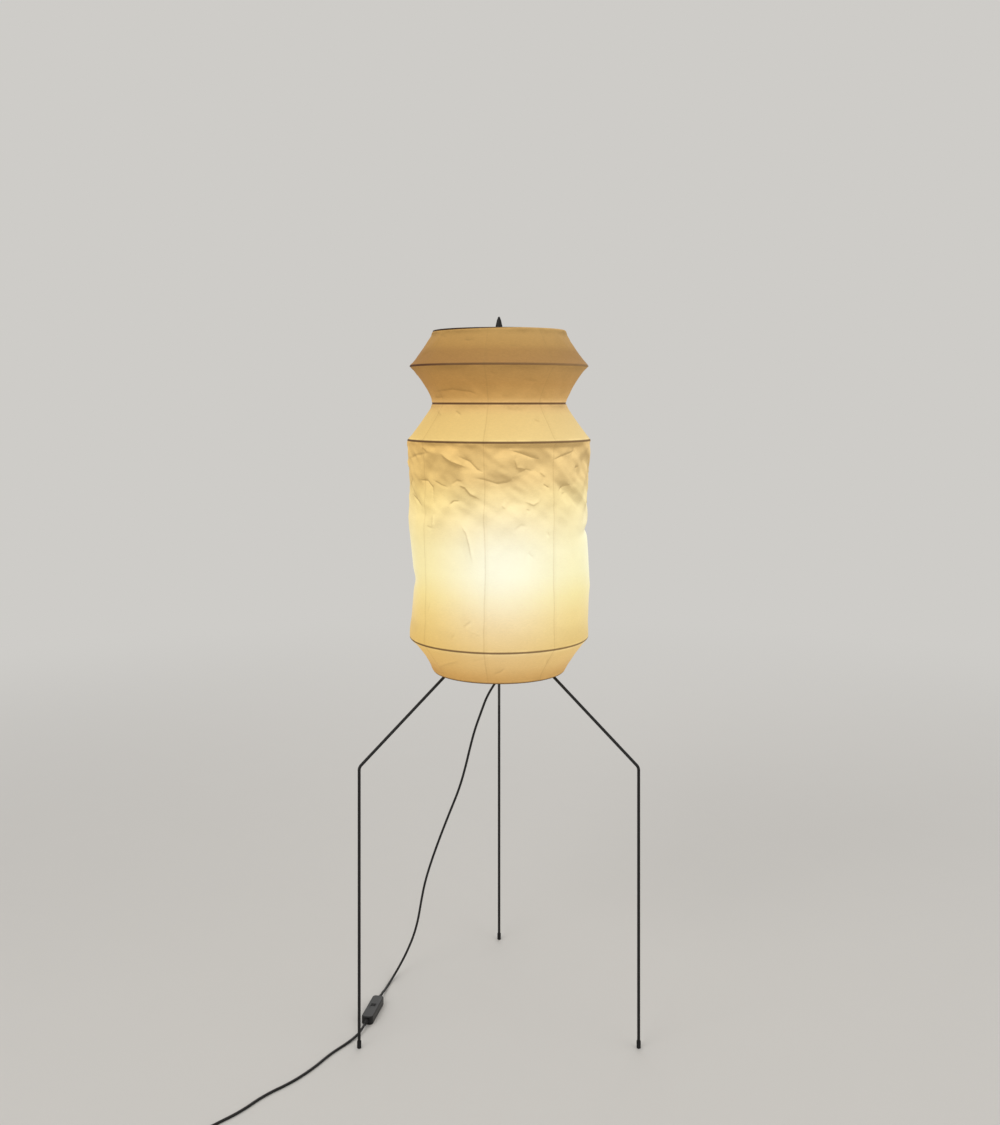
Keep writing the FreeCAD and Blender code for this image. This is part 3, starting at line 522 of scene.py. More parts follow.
def glowingFilament():
    paint = Recipe("filament")
    stripes = paint.noise(paint.stretch(paint.place(), filament["stripes"]), 1.0, 2)
    first, second = (solid(linear(*colour)) for colour in filament["glow"])
    paint.set(
        baseColor=solid(linear(*filament["colour"])),
        roughness=0.5,
        emissionColor=paint.mix(stripes, first, second),
        emissionStrength=1.0,
    )
    return paint.material


def dressNodes():
    finishes = {
        "black_steel": coated("powderCoat"),
        "ring_wire": coated("ringWire"),
        "black_plastic": coated("blackPlastic"),
        "rubber": coated("blackRubber"),
        "zinc": shinyMetal("zincPlate"),
        "nickel": shinyMetal("nickelPlate"),
        "brass": shinyMetal("brass"),
        "cord_jacket": bpy.data.materials["cordJacket"],
        "steatite": ceramic(),
        "opal_glass": glowingGlass(),
        "clear_glass": clearGlass(),
        "filament": glowingFilament(),
    }
    for part in frame["record"]["subparts"]:
        if part["material_slot"] in finishes:  # the paper's nodes are replaced
            node = nodes[part["node"]]
            node.data.materials.clear()
            node.data.materials.append(finishes[part["material_slot"]])


dressNodes()
print("node finishes made")


# Paper shade: five bands of eight gores, from the rim down.
# Angles in degrees are from the front, to the right.
noise.seed_set(3)  # otherwise the clock sets where noise_vector reads, and the crumples change each run
rings = ["rim", "upper", "neck", "shoulder", "lower", "foot"]
paperRadius = {"rim": 0.140, "upper": 0.188, "neck": 0.140, "shoulder": 0.192, "lower": 0.187, "foot": 0.138}


def middleHeight(node):
    low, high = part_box(node)
    return (low.z + high.z) / 2


ringHeight = {name: middleHeight("ring_" + name) for name in rings}
bulbPlace = Vector((cord["exit"][0], 0, middleHeight("bulb_glass")))  # it stands over the cord's exit
ringShadowLine = {  # the painted shadow of a ring's wire through the paper: how dark, and how much paler it is painted on the right
    "rim": (0.0, 0.0),
    "upper": (0.95, 0.9),
    "neck": (0.93, 0.35),
    "shoulder": (0.93, 0.55),
    "lower": (0.85, 0.5),
    "foot": (0.45, 0.5),
}

shade = {
    "gores": 8,
    "seamAngle": -9.0,          # the seam nearest the front
    "columns": 288,
    "ringStep": 0.0014,         # the first row's height, beside a ring; the rows grow from there
    "stepGrows": 0.4,
    "finer": [(0.1, 0.0065), (0.55, 0.0032)],   # from this strength on, how near a fold the mesh is halved
    "thick": 0.0004,
    "edgeFade": 0.012,          # how far from a ring the paper is free to crumple
    "pucker": 0.0011,
    "puckerFrom": 0.004,
    "puckerReach": 0.011,
    "puckerFine": 24,
    "goreFlat": 0.0016,         # how far a gore lies inside the round of the rings
    "wave": 0.0022,             # the body's slow waves
    "ringClear": (0.008, 0.045),    # above the lower ring, so that the folded paper lies round it
    "facetWarp": 0.75,
    # facets: how many around, how tall, turns per metre up, depth
    "facets": [(20, 0.062, 0.5, 0.0021), (33, 0.038, -0.9, 0.0016), (70, 0.019, 0.5, 0.0006)],
}

foldShape = {
    "pressedIn": -0.0017,       # where its steep side would look up
    "raised": 0.0025,
    "gentleReach": 0.0075,      # times its own softness
    "steepReach": 0.0021,
    "reach": 0.026,             # nothing changes further away
    # painted highlight (light), painted shade line (dark) and wider painted shadow (dusk) of a fold: how
    # strong, where its middle is across the fold, how wide
    "light": (0.14, 0.0026, 0.0028),
    "dark": (0.40, -0.0012, 0.0015),
    "dusk": (0.10, -0.0050, 0.0045),
}

# the paper's glow: the bulb's light through the paper, painted into its emission, with a painted hot spot,
# painted side light and painted crease shading
glowLook = {
    "hotHeight": 0.93,          # the glow's brightest place, on the front and back, and less on the sides
    "hotWide": 0.085,
    "hotSideWide": 0.045,
    "hotSides": 0.6,
    "hotColour": (0.04, 0.14, 0.36),    # linear, added in the middle of the glow
    # painted cooler light on the glow's right side
    "rightPaintedLight": (1.0, 1.04, 1.20),
    "flattest": 0.55,           # holds a facet's change back where the light meets the paper at a flat angle
    "creaseShadeRange": (-0.55, 0.24),
}

paperLook = {
    "colour": (168, 134, 77),
    # the base colour painted in shade on the left and in cooler light on the right
    "leftPaintedShade": (0.93, 0.86, 0.68),
    "rightPaintedLight": (1.02, 1.06, 1.16),
    "roughness": 0.82,
    "fibreSize": 150.0,
    "fibreLong": (1, 1, 3.2),
    "fibreTone": 0.07,
    "cloudSize": 22.0,
    "cloudTone": 0.09,
    "wrinkleSize": 42.0,
    "wrinkleLong": (1, 1, 1.7),
    "wrinkleHalf": 0.03,
    "wrinkleLight": 0.06,
    "seamWander": 0.05,         # radians, the seam's whole swing
    # the seam's thin line fades between these distances, and its lap between the next
    "seamEdge": (0.0019, 0.0007),
    "lapEdge": (0.0074, 0.0062),
    "seamDark": 0.30,
    "lapDark": 0.035,
    "ringShadowHalf": 0.0021,         # half the width of a ring's painted shadow line
    "ringShadowSoft": 0.0009,
    "ringShadowColours": ((62, 34, 15), (118, 92, 60)),   # the ring's painted shadow line: plain, and where it is painted paler
    # the glow of a ring's painted shadow line: plain, and paler
    "ringShadowGlow": ((52, 26, 6), (104, 80, 48)),
    # the pinch: a painted pale highlight beside a ring, where it fades and how bright
    "pinchEdge": (0.0068, 0.0028),
    "pinchLight": 0.20,
    "bump": 0.0006,
}

# travel: how far its joint folds it. dish: how far it is drawn in between its rings.
# level: how strongly the studio's light shows on it, the rest being glow. left tint: the painted shade that its
# glow takes on the left.
# glow: the bulb's light through the paper, painted as emission, from its top (0) to its bottom (1). busy: how
# crumpled it is there.
# folds: strength, and the points of its line as angle and mm up. A negative one is turned round.
bands = {
    "paperRim": {
        "rings": ("rim", "upper"), "joint": "fold_rim", "body": "shade_rim", "nodes": ["paper_rim"],
        "travel": 0.066, "dish": 0.002, "step": 0.004, "level": 0.95, "leftPaintedShade": (0.92, 0.83, 0.62),
        "seed": 11, "backFolds": 14, "busy": [(0, 0.45), (1, 0.25)],
        "glow": [(0.0, (199, 158, 92)), (0.45, (188, 146, 82)), (0.62, (176, 134, 74)),
                 (1.0, (174, 132, 72))],
        "folds": [
            (0.5, [(-57.0, 1410), (-46.0, 1403)]),
            (0.5, [(-28.9, 1397), (-23.3, 1395), (-18.5, 1399)]),
            (0.5, [(-67.8, 1369), (-56.4, 1377)]),
            (0.5, [(7.8, 1384), (13.6, 1381)]),
            (0.3, [(34.2, 1392), (33.7, 1380)]),
        ],
    },
    "paperUpper": {
        "rings": ("upper", "neck"), "joint": "fold_upper", "body": "shade_upper", "nodes": ["paper_upper"],
        "travel": 0.071, "dish": 0.005, "step": 0.004, "level": 0.7, "leftPaintedShade": (0.88, 0.8, 0.66),
        "seed": 12, "backFolds": 12, "busy": [(0, 0.2), (0.5, 0.2), (1, 0.5)],
        "glow": [(0.0, (182, 140, 80)), (0.5, (181, 138, 77)), (0.85, (188, 148, 86)),
                 (1.0, (206, 166, 104))],
        "folds": [
            (0.6, [(-60.3, 1293), (-37.7, 1298), (-22.8, 1293), (-17.1, 1288)]),
            (0.3, [(17.6, 1317), (29.4, 1313)]),
            (0.4, [(-66.9, 1281), (-50.3, 1283)]),
            (0.3, [(-6.1, 1331), (-1.3, 1328)]),
        ],
    },
    "paperNeck": {
        "rings": ("neck", "shoulder"), "joint": "fold_neck", "body": "shade_neck", "nodes": ["paper_neck"],
        "travel": 0.069, "dish": 0.0015, "step": 0.004, "level": 0.9, "leftPaintedShade": (1.0, 0.95, 0.8),
        "seed": 13, "backFolds": 12, "busy": [(0, 0.35), (0.4, 0.15), (1, 0.1)],
        "glow": [(0.0, (226, 184, 118)), (0.3, (233, 199, 127)), (0.9, (235, 203, 131)),
                 (1.0, (238, 206, 136))],
        "folds": [
            (0.6, [(-36.7, 1255), (-29.6, 1246)]),
            (0.4, [(25.8, 1237), (30.1, 1232)]),
            (0.25, [(4.3, 1258), (22.2, 1255)]),
            (-0.35, [(-59.7, 1260), (-46.9, 1245)]),
        ],
    },
    "paperBody": {
        "rings": ("shoulder", "lower"), "joint": "fold_body", "body": "shade_shoulder",
        "nodes": ["paper_body_high", "paper_body_low"],
        "travel": 0.370, "dish": 0.001, "step": 0.0035, "slackStep": 0.0054, "slackFrom": 0.42,
        "level": 0.85, "leftPaintedShade": (1.0, 0.94, 0.78), "seed": 14, "backFolds": 80,
        "busy": [(0, 0.8), (0.1, 1.0), (0.3, 0.9), (0.42, 0.35), (0.6, 0.15), (0.9, 0.2), (1, 0.15)],
        "glow": [(0.0, (230, 189, 117)), (0.06, (234, 197, 126)), (0.18, (234, 200, 129)),
                 (0.25, (240, 212, 140)), (0.31, (245, 220, 149)), (0.41, (249, 228, 161)),
                 (0.53, (252, 236, 171)), (0.64, (252, 236, 166)), (0.75, (249, 226, 143)),
                 (0.84, (244, 214, 129)), (0.94, (238, 204, 121)), (1.0, (229, 192, 110))],
        "folds": [
            (-1.0, [(-36.8, 1169), (-29.5, 1156), (-19.5, 1145)]),
            (0.8, [(-26.0, 1168), (-17.9, 1156), (-13.2, 1141), (-9.8, 1136)]),
            (0.9, [(6.2, 1179), (13.0, 1173), (20.1, 1165), (26.2, 1160)]),
            (0.9, [(35.2, 1158), (43.9, 1167), (56.0, 1175)]),
            (-0.6, [(9.6, 1163), (11.1, 1145), (17.7, 1141)]),
            (0.5, [(11.1, 1133), (16.9, 1141), (22.1, 1137)]),
            (0.7, [(-15.6, 1125), (-8.7, 1121), (-1.2, 1113), (5.5, 1116), (9.6, 1125)]),
            (0.6, [(-46.6, 1118), (-39.0, 1108), (-33.7, 1104)]),
            (0.5, [(-31.4, 1110), (-27.0, 1118), (-21.1, 1117)]),
            (-1.0, [(-26.1, 1110), (-21.1, 1106), (-17.2, 1093), (-11.4, 1084)]),
            (0.9, [(-60.9, 1115), (-51.7, 1115), (-46.5, 1103), (-45.4, 1072)]),
            (0.8, [(-75.0, 1084), (-65.3, 1072), (-57.1, 1061)]),
            (0.8, [(-32.6, 1070), (-29.7, 1077), (-24.3, 1078)]),
            (-0.6, [(-45.2, 1049), (-45.1, 1021)]),
            (0.5, [(-50.8, 1024), (-45.1, 1021)]),
            (-0.55, [(-23.9, 1031), (-20.3, 1016), (-18.5, 995), (-17.5, 977), (-15.9, 954)]),
            (-0.5, [(15.8, 1079), (21.8, 1071), (26.8, 1080)]),
            (0.5, [(17.0, 1062), (19.6, 1059)]),
            (-0.5, [(26.5, 1136), (30.7, 1125)]),
            (0.7, [(28.5, 1111), (33.2, 1102)]),
            (0.7, [(40.1, 1095), (44.1, 1105), (51.7, 1107)]),
            (0.5, [(42.9, 1089), (47.9, 1091)]),
            (0.6, [(55.5, 1140), (60.3, 1142)]),
            (-0.4, [(1.8, 1072), (4.2, 1064)]),
            (0.3, [(9.7, 1022), (13.9, 1032), (17.1, 1029)]),
            (0.4, [(31.2, 1017), (32.5, 1007)]),
            (0.5, [(-77.4, 1155), (-60.5, 1166), (-44.1, 1173)]),
            (0.5, [(-54.8, 1181), (-49.4, 1172)]),
            (-0.5, [(-69.7, 1121), (-77.5, 1101), (-73.4, 1086)]),
            (0.6, [(-22.4, 830), (-16.5, 844)]),
            (0.4, [(-30.7, 805), (-27.4, 816)]),
            (-0.3, [(-18.3, 824), (-10.4, 817)]),
            (0.25, [(-51.1, 849), (-48.3, 875)]),
            (0.25, [(17.9, 979), (22.0, 966)]),
        ],
    },
    "paperFoot": {
        "rings": ("lower", "foot"), "joint": "fold_foot", "body": "shade_lower", "nodes": ["paper_foot"],
        "travel": 0.063, "dish": 0.002, "step": 0.004, "level": 0.7, "leftPaintedShade": (0.97, 0.9, 0.7),
        "seed": 15, "backFolds": 14, "busy": [(0, 0.2), (1, 0.5)],
        "glow": [(0.0, (238, 203, 126)), (0.15, (227, 189, 112)), (0.5, (221, 181, 107)),
                 (0.8, (209, 165, 92)), (1.0, (203, 157, 85))],
        "folds": [
            (-0.5, [(-58.0, 731), (-37.5, 752), (-28.1, 761)]),
            (0.6, [(-4.4, 732), (1.3, 739), (4.9, 748)]),
            (0.4, [(34.0, 764), (35.7, 748)]),
            (0.25, [(-18.5, 761), (-7.7, 771)]),
        ],
    },
}

# How far the body's paper lies inside its rings: (height, inwards) at the left, right, front and back
hollows = {
    -90.0: [(1.194, 0.0), (1.17, -0.003), (1.10, -0.004), (1.035, -0.003), (0.975, 0.001), (0.942, 0.005),
            (0.902, 0.0075), (0.878, 0.0065), (0.84, 0.004), (0.783, 0.0)],
    90.0: [(1.194, 0.0), (1.17, -0.002), (1.12, -0.003), (1.06, 0.0), (1.03, 0.0015), (1.0, 0.0015),
           (0.95, -0.001), (0.89, -0.004), (0.85, -0.0015), (0.80, 0.0), (0.783, 0.0)],
    0.0: [(1.194, 0.0), (1.1, 0.003), (0.98, 0.005), (0.88, 0.003), (0.783, 0.0)],
    180.0: [(1.194, 0.0), (1.12, 0.004), (1.0, 0.008), (0.87, 0.004), (0.783, 0.0)],
}

# Pinches in the body's outline: angle, height, depth, how wide in degrees, how tall, and its rise per degree
pinches = [(89.0, 1.011, 0.0068, 19.0, 0.011, 0.0005), (-88.0, 0.902, 0.0035, 21.0, 0.017, 0.0004)]

# The rim's paper edge: it hangs below the wire on the left, and is turned over it on the right
rimEdge = [(-180, 0.0010), (-150, -0.0008), (-120, -0.0018), (-50, -0.0019), (-20, -0.0010),
           (0, 0.0002), (20, 0.0014), (60, 0.0018), (130, 0.0017), (180, 0.0010)]
rimTurned = {"reach": 0.010, "hem": 0.0018, "inwards": 0.0016}


def between(table, value):  # straight lines between a table's points, in either order
    points = sorted(table)
    if value <= points[0][0]:
        return points[0][1]
    for (low, first), (high, second) in zip(points, points[1:]):
        if value <= high:
            return first + (second - first) * (value - low) / (high - low)
    return points[-1][1]


def smooth(low, high, value):
    t = min(max((value - low) / (high - low), 0.0), 1.0)
    return t * t * (3 - 2 * t)


def bell(value, middle, width):
    return math.exp(-(((value - middle) / width) ** 2))


def spot(angle, radius, height):
    turn = math.radians(angle)
    return Vector((radius * math.sin(turn), -radius * math.cos(turn), height))


def angleOf(co):
    return math.degrees(math.atan2(co.x, -co.y))


def hollowAt(angle, height):
    total = 0.0
    for side, table in hollows.items():
        facing = max(0.0, math.cos(math.radians(angle - side)))
        total += facing * facing * between(table, height)
    for side, level, depth, wide, tall, slant in pinches:
        total += depth * bell(angle, side, wide) * bell(height, level + slant * (angle - side), tall)
    return total


def facetAt(angle, height, seed, count, tall, twist):  # flat facets between hard creases
    warp = noise.noise_vector(spot(angle, 2.1, height * 11) + Vector((seed, count, 0))) * shade["facetWarp"]
    i, j = (angle / 360 + twist * height) * count + warp.x, height / tall + warp.y
    column, row = math.floor(i), math.floor(j)
    f, g = i - column, j - row
    corners = [[2 * noise.cell(Vector(((column + di) % count + 0.5, row + dj + 0.5, seed + 0.5))) - 1
                for dj in (0, 1)] for di in (0, 1)]
    if f + g > 1:  # the other triangle of the cell, seen from its far corner
        f, g = 1 - f, 1 - g
        corners = [pair[::-1] for pair in corners[::-1]]
    here, aside, above = corners[0][0], corners[1][0], corners[0][1]
    return here + (aside - here) * f + (above - here) * g


def crumpleAt(angle, height, seed):
    return sum(depth * facetAt(angle, height, seed, count, tall, twist)
               for count, tall, twist, depth in shade["facets"])


def rowHeights(band, top, bottom):
    heights = [top]
    while heights[-1] > bottom:
        here = heights[-1]
        slack = (top - here) / (top - bottom) > band.get("slackFrom", 2)
        step = band["slackStep"] if slack else band["step"]
        toRing = max(0.0, min(top - here, here - bottom))
        heights.append(here - min(step, shade["ringStep"] + shade["stepGrows"] * toRing))
    scale = (top - bottom) / (top - heights[-1])
    return [top - (top - height) * scale for height in heights]


def backFolds(band, top, bottom, chance):  # like the ones on the front, which the photograph shows
    made = []
    degreesPerMm = 0.32
    margin = 8  # mm, from a ring
    crowded = "slackFrom" in band  # the body's folds lie near its top
    for k in range(band["backFolds"]):
        down = min(chance.betavariate(1.1, 2.4), 0.96) if crowded else chance.uniform(0.1, 0.9)
        angle = 78 + chance.uniform(0, 200)
        height = 1000 * (top - down * (top - bottom))
        slope = math.radians(chance.choice([-1, 1]) * chance.uniform(12, 65))
        bend = chance.uniform(-0.5, 0.5)
        length = chance.uniform(8, 19)
        strength = 1 - 0.75 * smooth(0.28, 0.48, down) if crowded else 0.5
        points = [(angle, height)]
        for piece in range(2):
            angle += length * math.cos(slope) * degreesPerMm
            height += length * math.sin(slope)
            slope += bend
            points.append((angle, height))
        if all(1000 * bottom + margin < h < 1000 * top - margin for a, h in points) and angle < 282:
            made.append((chance.choice([-1, 1]) * chance.uniform(0.3, 0.95) * strength, points))
    return made


def nearestOn(path, across, height):  # distance to a fold's line, its side as the sign, and how far along
    best, side, along = 1e9, 1.0, 0.0
    for k, ((u0, z0), (u1, z1)) in enumerate(zip(path, path[1:])):
        du, dz = u1 - u0, z1 - z0
        t = min(max(((across - u0) * du + (height - z0) * dz) / (du * du + dz * dz), 0.0), 1.0)
        eu, ez = across - u0 - du * t, height - z0 - dz * t
        far = math.hypot(eu, ez)
        if far < best:
            best, along = far, (k + t) / (len(path) - 1)
            side = 1.0 if eu * dz - ez * du > 0 else -1.0
    return best * side, along


def alongFolds(verts, folds, radius, reach):  # the fold's and the vert's number, distance and how far along
    places = []
    for vert in verts:
        angle = angleOf(vert.co)
        places.append((math.radians(angle % 360) * radius, math.radians(angle) * radius, vert.co.z))
    for number, (strength, points) in enumerate(folds):
        behind = max(a for a, h in points) > 70
        path = [(math.radians(a) * radius, h / 1000) for a, h in points]
        low, high = min(h for u, h in path) - reach, max(h for u, h in path) + reach
        left, right = min(u for u, h in path) - reach, max(u for u, h in path) + reach
        for k, (whole, front, height) in enumerate(places):
            across = whole if behind else front
            if low < height < high and left < across < right:
                yield number, k, *nearestOn(path, across, height)


def refine(bm, folds, radius):
    for least, reach in shade["finer"]:
        verts = list(bm.verts)
        strong = [fold for fold in folds if abs(fold[0]) >= least]
        met = alongFolds(verts, strong, radius, reach)
        near = {verts[k] for number, k, far, along in met if abs(far) < reach}
        edges = [edge for edge in bm.edges if edge.verts[0] in near and edge.verts[1] in near]
        bmesh.ops.subdivide_edges(bm, edges=edges, cuts=1, use_grid_fill=True)


# folds pressed into the paper, with their painted highlight, shade line and shadow as tones
def pressFolds(verts, folds, radius, chance):
    rises, foldShades = [0.0] * len(verts), [0.0] * len(verts)
    widths = [(chance.uniform(0.75, 1.35), chance.uniform(0.8, 2.2)) for fold in folds]
    light, lightAt, lightWide = foldShape["light"]
    dark, darkAt, darkWide = foldShape["dark"]
    dusk, duskAt, duskWide = foldShape["dusk"]
    for number, k, far, along in alongFolds(verts, folds, radius, foldShape["reach"]):
        (strength, points), (wide, soft) = folds[number], widths[number]
        far *= (1.0 if strength > 0 else -1.0) / wide
        steepAbove = (points[-1][0] - points[0][0]) * strength > 0
        hard = abs(strength) * smooth(-0.05, 0.30, along) * smooth(-0.05, 0.35, 1 - along)
        gentle = math.exp(-max(far, 0.0) / (foldShape["gentleReach"] * soft))
        steep = math.exp(min(far, 0.0) / foldShape["steepReach"])
        rises[k] += hard * foldShape["pressedIn" if steepAbove else "raised"] * gentle * steep
        foldShades[k] += hard * (light * bell(far, lightAt, lightWide) - dark * bell(far, darkAt, darkWide)
                            - dusk * bell(far, duskAt * soft, duskWide * soft))
    return rises, foldShades


def makeCone(band, top, bottom, radiusAt):  # rows of faces from ring to ring, low near the rings
    heights = rowHeights(band, top, bottom)
    bm = bmesh.new()
    bmesh.ops.create_cone(bm, cap_ends=False, segments=shade["columns"], depth=top - bottom,
                          radius1=radiusAt[0][1], radius2=radiusAt[1][1])
    bmesh.ops.translate(bm, verts=bm.verts, vec=(0, 0, (top + bottom) / 2))
    upright = [edge for edge in bm.edges if abs(edge.verts[0].co.z - edge.verts[1].co.z) > 0.001]
    bmesh.ops.subdivide_edges(bm, edges=upright, cuts=len(heights) - 2)
    for vert in bm.verts:
        row = round((top - vert.co.z) / (top - bottom) * (len(heights) - 1))
        vert.co = spot(angleOf(vert.co), between(radiusAt, heights[row]), heights[row])
    return bm


def makeBandMesh(name, band, top, bottom, topRadius, bottomRadius):
    chance = random.Random(band["seed"])
    radiusAt = [(bottom, bottomRadius), (top, topRadius)]
    radius = (topRadius + bottomRadius) / 2
    bm = makeCone(band, top, bottom, radiusAt)
    folds = band["folds"] + backFolds(band, top, bottom, chance)
    refine(bm, folds, radius)
    for vert in bm.verts:  # the halved edges' middles go back on the round
        vert.co = spot(angleOf(vert.co), between(radiusAt, vert.co.z), vert.co.z)
    verts = list(bm.verts)
    rises, foldShades = pressFolds(verts, folds, radius, chance)
    span = 360 / shade["gores"]
    for vert, rise in zip(verts, rises):
        angle, height = angleOf(vert.co), vert.co.z
        toRing = min(top - height, height - bottom)
        down = (top - height) / (top - bottom)
        free = smooth(0.0, shade["edgeFade"], toRing)
        inGore = ((angle - shade["seamAngle"]) % span) / span
        rise = rise * free - band["dish"] * 4 * down * (1 - down)
        rise -= shade["goreFlat"] * math.sin(math.pi * inGore) ** 2 * free
        rise += free * between(band["busy"], down) * crumpleAt(angle, height, band["seed"])
        near = smooth(0.0, shade["puckerFrom"], toRing)
        near *= 1 - smooth(shade["puckerFrom"], shade["puckerReach"], toRing)
        rise += shade["pucker"] * near * noise.noise(spot(angle, shade["puckerFine"], band["seed"]))
        if name == "paperBody":
            rise += shade["wave"] * free * noise.noise(spot(angle, 1.9, height * 8)) - hollowAt(angle, height)
            rise *= 1.0 if rise > 0 else smooth(*shade["ringClear"], height - bottom)
        vert.co = spot(angle, math.hypot(vert.co.x, vert.co.y) + rise, height)
        if name == "paperRim":
            lift = between(rimEdge, angle) * (1 - smooth(0.0, rimTurned["reach"], top - height))
            hem = 1 - smooth(0.0, rimTurned["hem"], top - height)
            inwards = rimTurned["inwards"] * max(0.0, lift / rimTurned["hem"]) * hem
            vert.co = spot(angle, math.hypot(vert.co.x, vert.co.y) - inwards, height + lift)
    bm.normal_update()
    if sum(face.normal.xy.dot(face.calc_center_median().xy) for face in bm.faces) < 0:
        bmesh.ops.reverse_faces(bm, faces=bm.faces)
    mesh = bpy.data.meshes.new(name)
    bm.to_mesh(mesh)
    bm.free()
    return mesh, foldShades


def addAttributes(mesh, foldShades, plainSlope):  # where the paper is at rest, and its painted shade and light: how each place faces the bulb, with the folds' painted tones
    least, most = glowLook["creaseShadeRange"]
    shading = []
    for vert, tone in zip(mesh.vertices, foldShades):
        flat = Vector((vert.co.x, vert.co.y, 0)).normalized()
        plain = flat * plainSlope.x + Vector((0, 0, plainSlope.y))
        fromBulb = (vert.co - bulbPlace).normalized()
        turned = (vert.normal - plain).dot(fromBulb) / max(glowLook["flattest"], plain.dot(fromBulb))
        shading.append(min(max(turned + tone, least), most))
    place = mesh.attributes.new("restPlace", "FLOAT_VECTOR", "POINT")
    place.data.foreach_set("vector", [c for vert in mesh.vertices for c in vert.co])
    crease = mesh.attributes.new("crease", "FLOAT", "POINT")
    crease.data.foreach_set("value", shading)


def around(pattern, amount):  # 1 on average
    return (1 - amount / 2) + amount * pattern


def makePaperMaterial(name, band, top, bottom):
    paint = Recipe(name)
    place = paint.place("restPlace")
    x, y, z = paint.axes(place)
    down = (top - z) / (top - bottom)
    base = linear(*paperLook["colour"])
    lit = [c * band["level"] for c in base]
    # the bulb's light through the paper, painted as emission down the band
    glow = paint.ramp(down, [(v, tuple(max(0.0, t - d) for t, d in zip(linear(*colour), lit)))
                             for v, colour in band["glow"]])
    # the glow painted in shade on the left and in cooler light on the right
    litRightwards = (x * 2.6 + 0.5).clamped()
    sideLightTint = paint.mix((litRightwards * 2).clamped(), solid(band["leftPaintedShade"]), solid((1.0, 1.0, 1.0)))
    sideLightTint = paint.mix((litRightwards * 2 - 1).clamped(), sideLightTint, solid(glowLook["rightPaintedLight"]))
    glow = paint.mix(1.0, glow, sideLightTint, "MULTIPLY")
    # a painted hot spot of the bulb's light, on the front and back and less on the sides
    tall = glowLook["hotWide"]
    up = z - glowLook["hotHeight"]
    hot = 0.0
    for across, wide, share in ((x, tall, 1.0), (y, glowLook["hotSideWide"], glowLook["hotSides"])):
        away = across * across / (2 * wide ** 2) + up * up / (2 * tall ** 2)
        hot = (away * -1).does("EXPONENT") * share + hot
    glow = paint.mix(hot, glow, paint.mix(1.0, glow, solid(glowLook["hotColour"]), "ADD"))

    # fibres, cloudy sheet and fine wrinkles, with painted light along the wrinkles' ridges
    angle = x.does("ARCTAN2", y * -1)
    radius = (x * x + y * y).does("SQRT")
    sheetPlace = paint.add("ShaderNodeCombineXYZ", values={0: angle * 0.19, 1: z, 2: 0.0})
    fibre = paint.noise(paint.stretch(place, paperLook["fibreLong"]), paperLook["fibreSize"], 6, 0.62, 0.6)
    cloud = paint.noise(place, paperLook["cloudSize"], 5, 0.6)
    creased = paint.noise(paint.stretch(place, paperLook["wrinkleLong"]), paperLook["wrinkleSize"], 3, 0.5, 1.2)
    ridge = (creased - 0.5).size().fade(paperLook["wrinkleHalf"], 0.0)
    busyRamp = paint.ramp(down, [(v, (b, b, b)) for v, b in band["busy"]])
    busy = paint.add("ShaderNodeSeparateColor", values={0: busyRamp})
    # painted shade and light of the crumples and folds, as they face the bulb
    crease = paint.add("ShaderNodeAttribute", {"attribute_name": "crease"}, out=2)
    shine = (1.0 + crease) * around(cloud, paperLook["cloudTone"]) * around(fibre, paperLook["fibreTone"])
    shine = shine * (1.0 + paperLook["wrinkleLight"] * ridge * busy)

    # seams of the gores: a thin darker line, and the lap beside it a little darker
    span = math.radians(360 / shade["gores"])
    wander = paint.noise(sheetPlace, 9.0, 2) * paperLook["seamWander"] - paperLook["seamWander"] / 2
    turned = (angle + wander - math.radians(shade["seamAngle"])) / span
    gore = turned - turned.does("FLOOR")
    fromSeam = (0.5 - (gore - 0.5).size()) * span * radius
    lap = (gore * span * radius).fade(*paperLook["lapEdge"])
    seamLine = fromSeam.fade(*paperLook["seamEdge"]) * (0.25 + 0.6 * paint.noise(place, 60.0, 3))
    shine = shine * (1.0 - paperLook["seamDark"] * seamLine) * (1.0 - paperLook["lapDark"] * lap)

    # a ring's painted shadow line through the paper, with a painted pale highlight, the pinch, beside it
    fromTop, fromBottom = top - z, z - bottom
    half, soft = paperLook["ringShadowHalf"], paperLook["ringShadowSoft"]
    litToRight = ((x + 0.09) * 3.0 + 0.5 * paint.noise(place, 14.0, 3)).clamped()
    ringShadow = 0.0
    ringShadowPale = 0.0
    for ring, away in zip(band["rings"], (fromTop, fromBottom)):
        dark, fade = ringShadowLine[ring]
        shown = away.fade(half + soft, half - soft)
        ringShadow = shown * dark + ringShadow
        ringShadowPale = shown * fade * litToRight + ringShadowPale
    toRing = fromTop.does("MINIMUM", fromBottom)
    pinchHighlight = toRing.fade(*paperLook["pinchEdge"]) * paint.noise(place, 34.0, 3).fade(0.42, 0.62)
    shine = shine * (1.0 + paperLook["pinchLight"] * pinchHighlight)
    glow = paint.mix(1.0, glow, paint.grey(shine), "MULTIPLY")
    ringShadowBase = paint.mix(ringShadowPale, *(solid(linear(*colour)) for colour in paperLook["ringShadowColours"]))
    ringShadowGlow = paint.mix(ringShadowPale, *(solid(linear(*colour)) for colour in paperLook["ringShadowGlow"]))

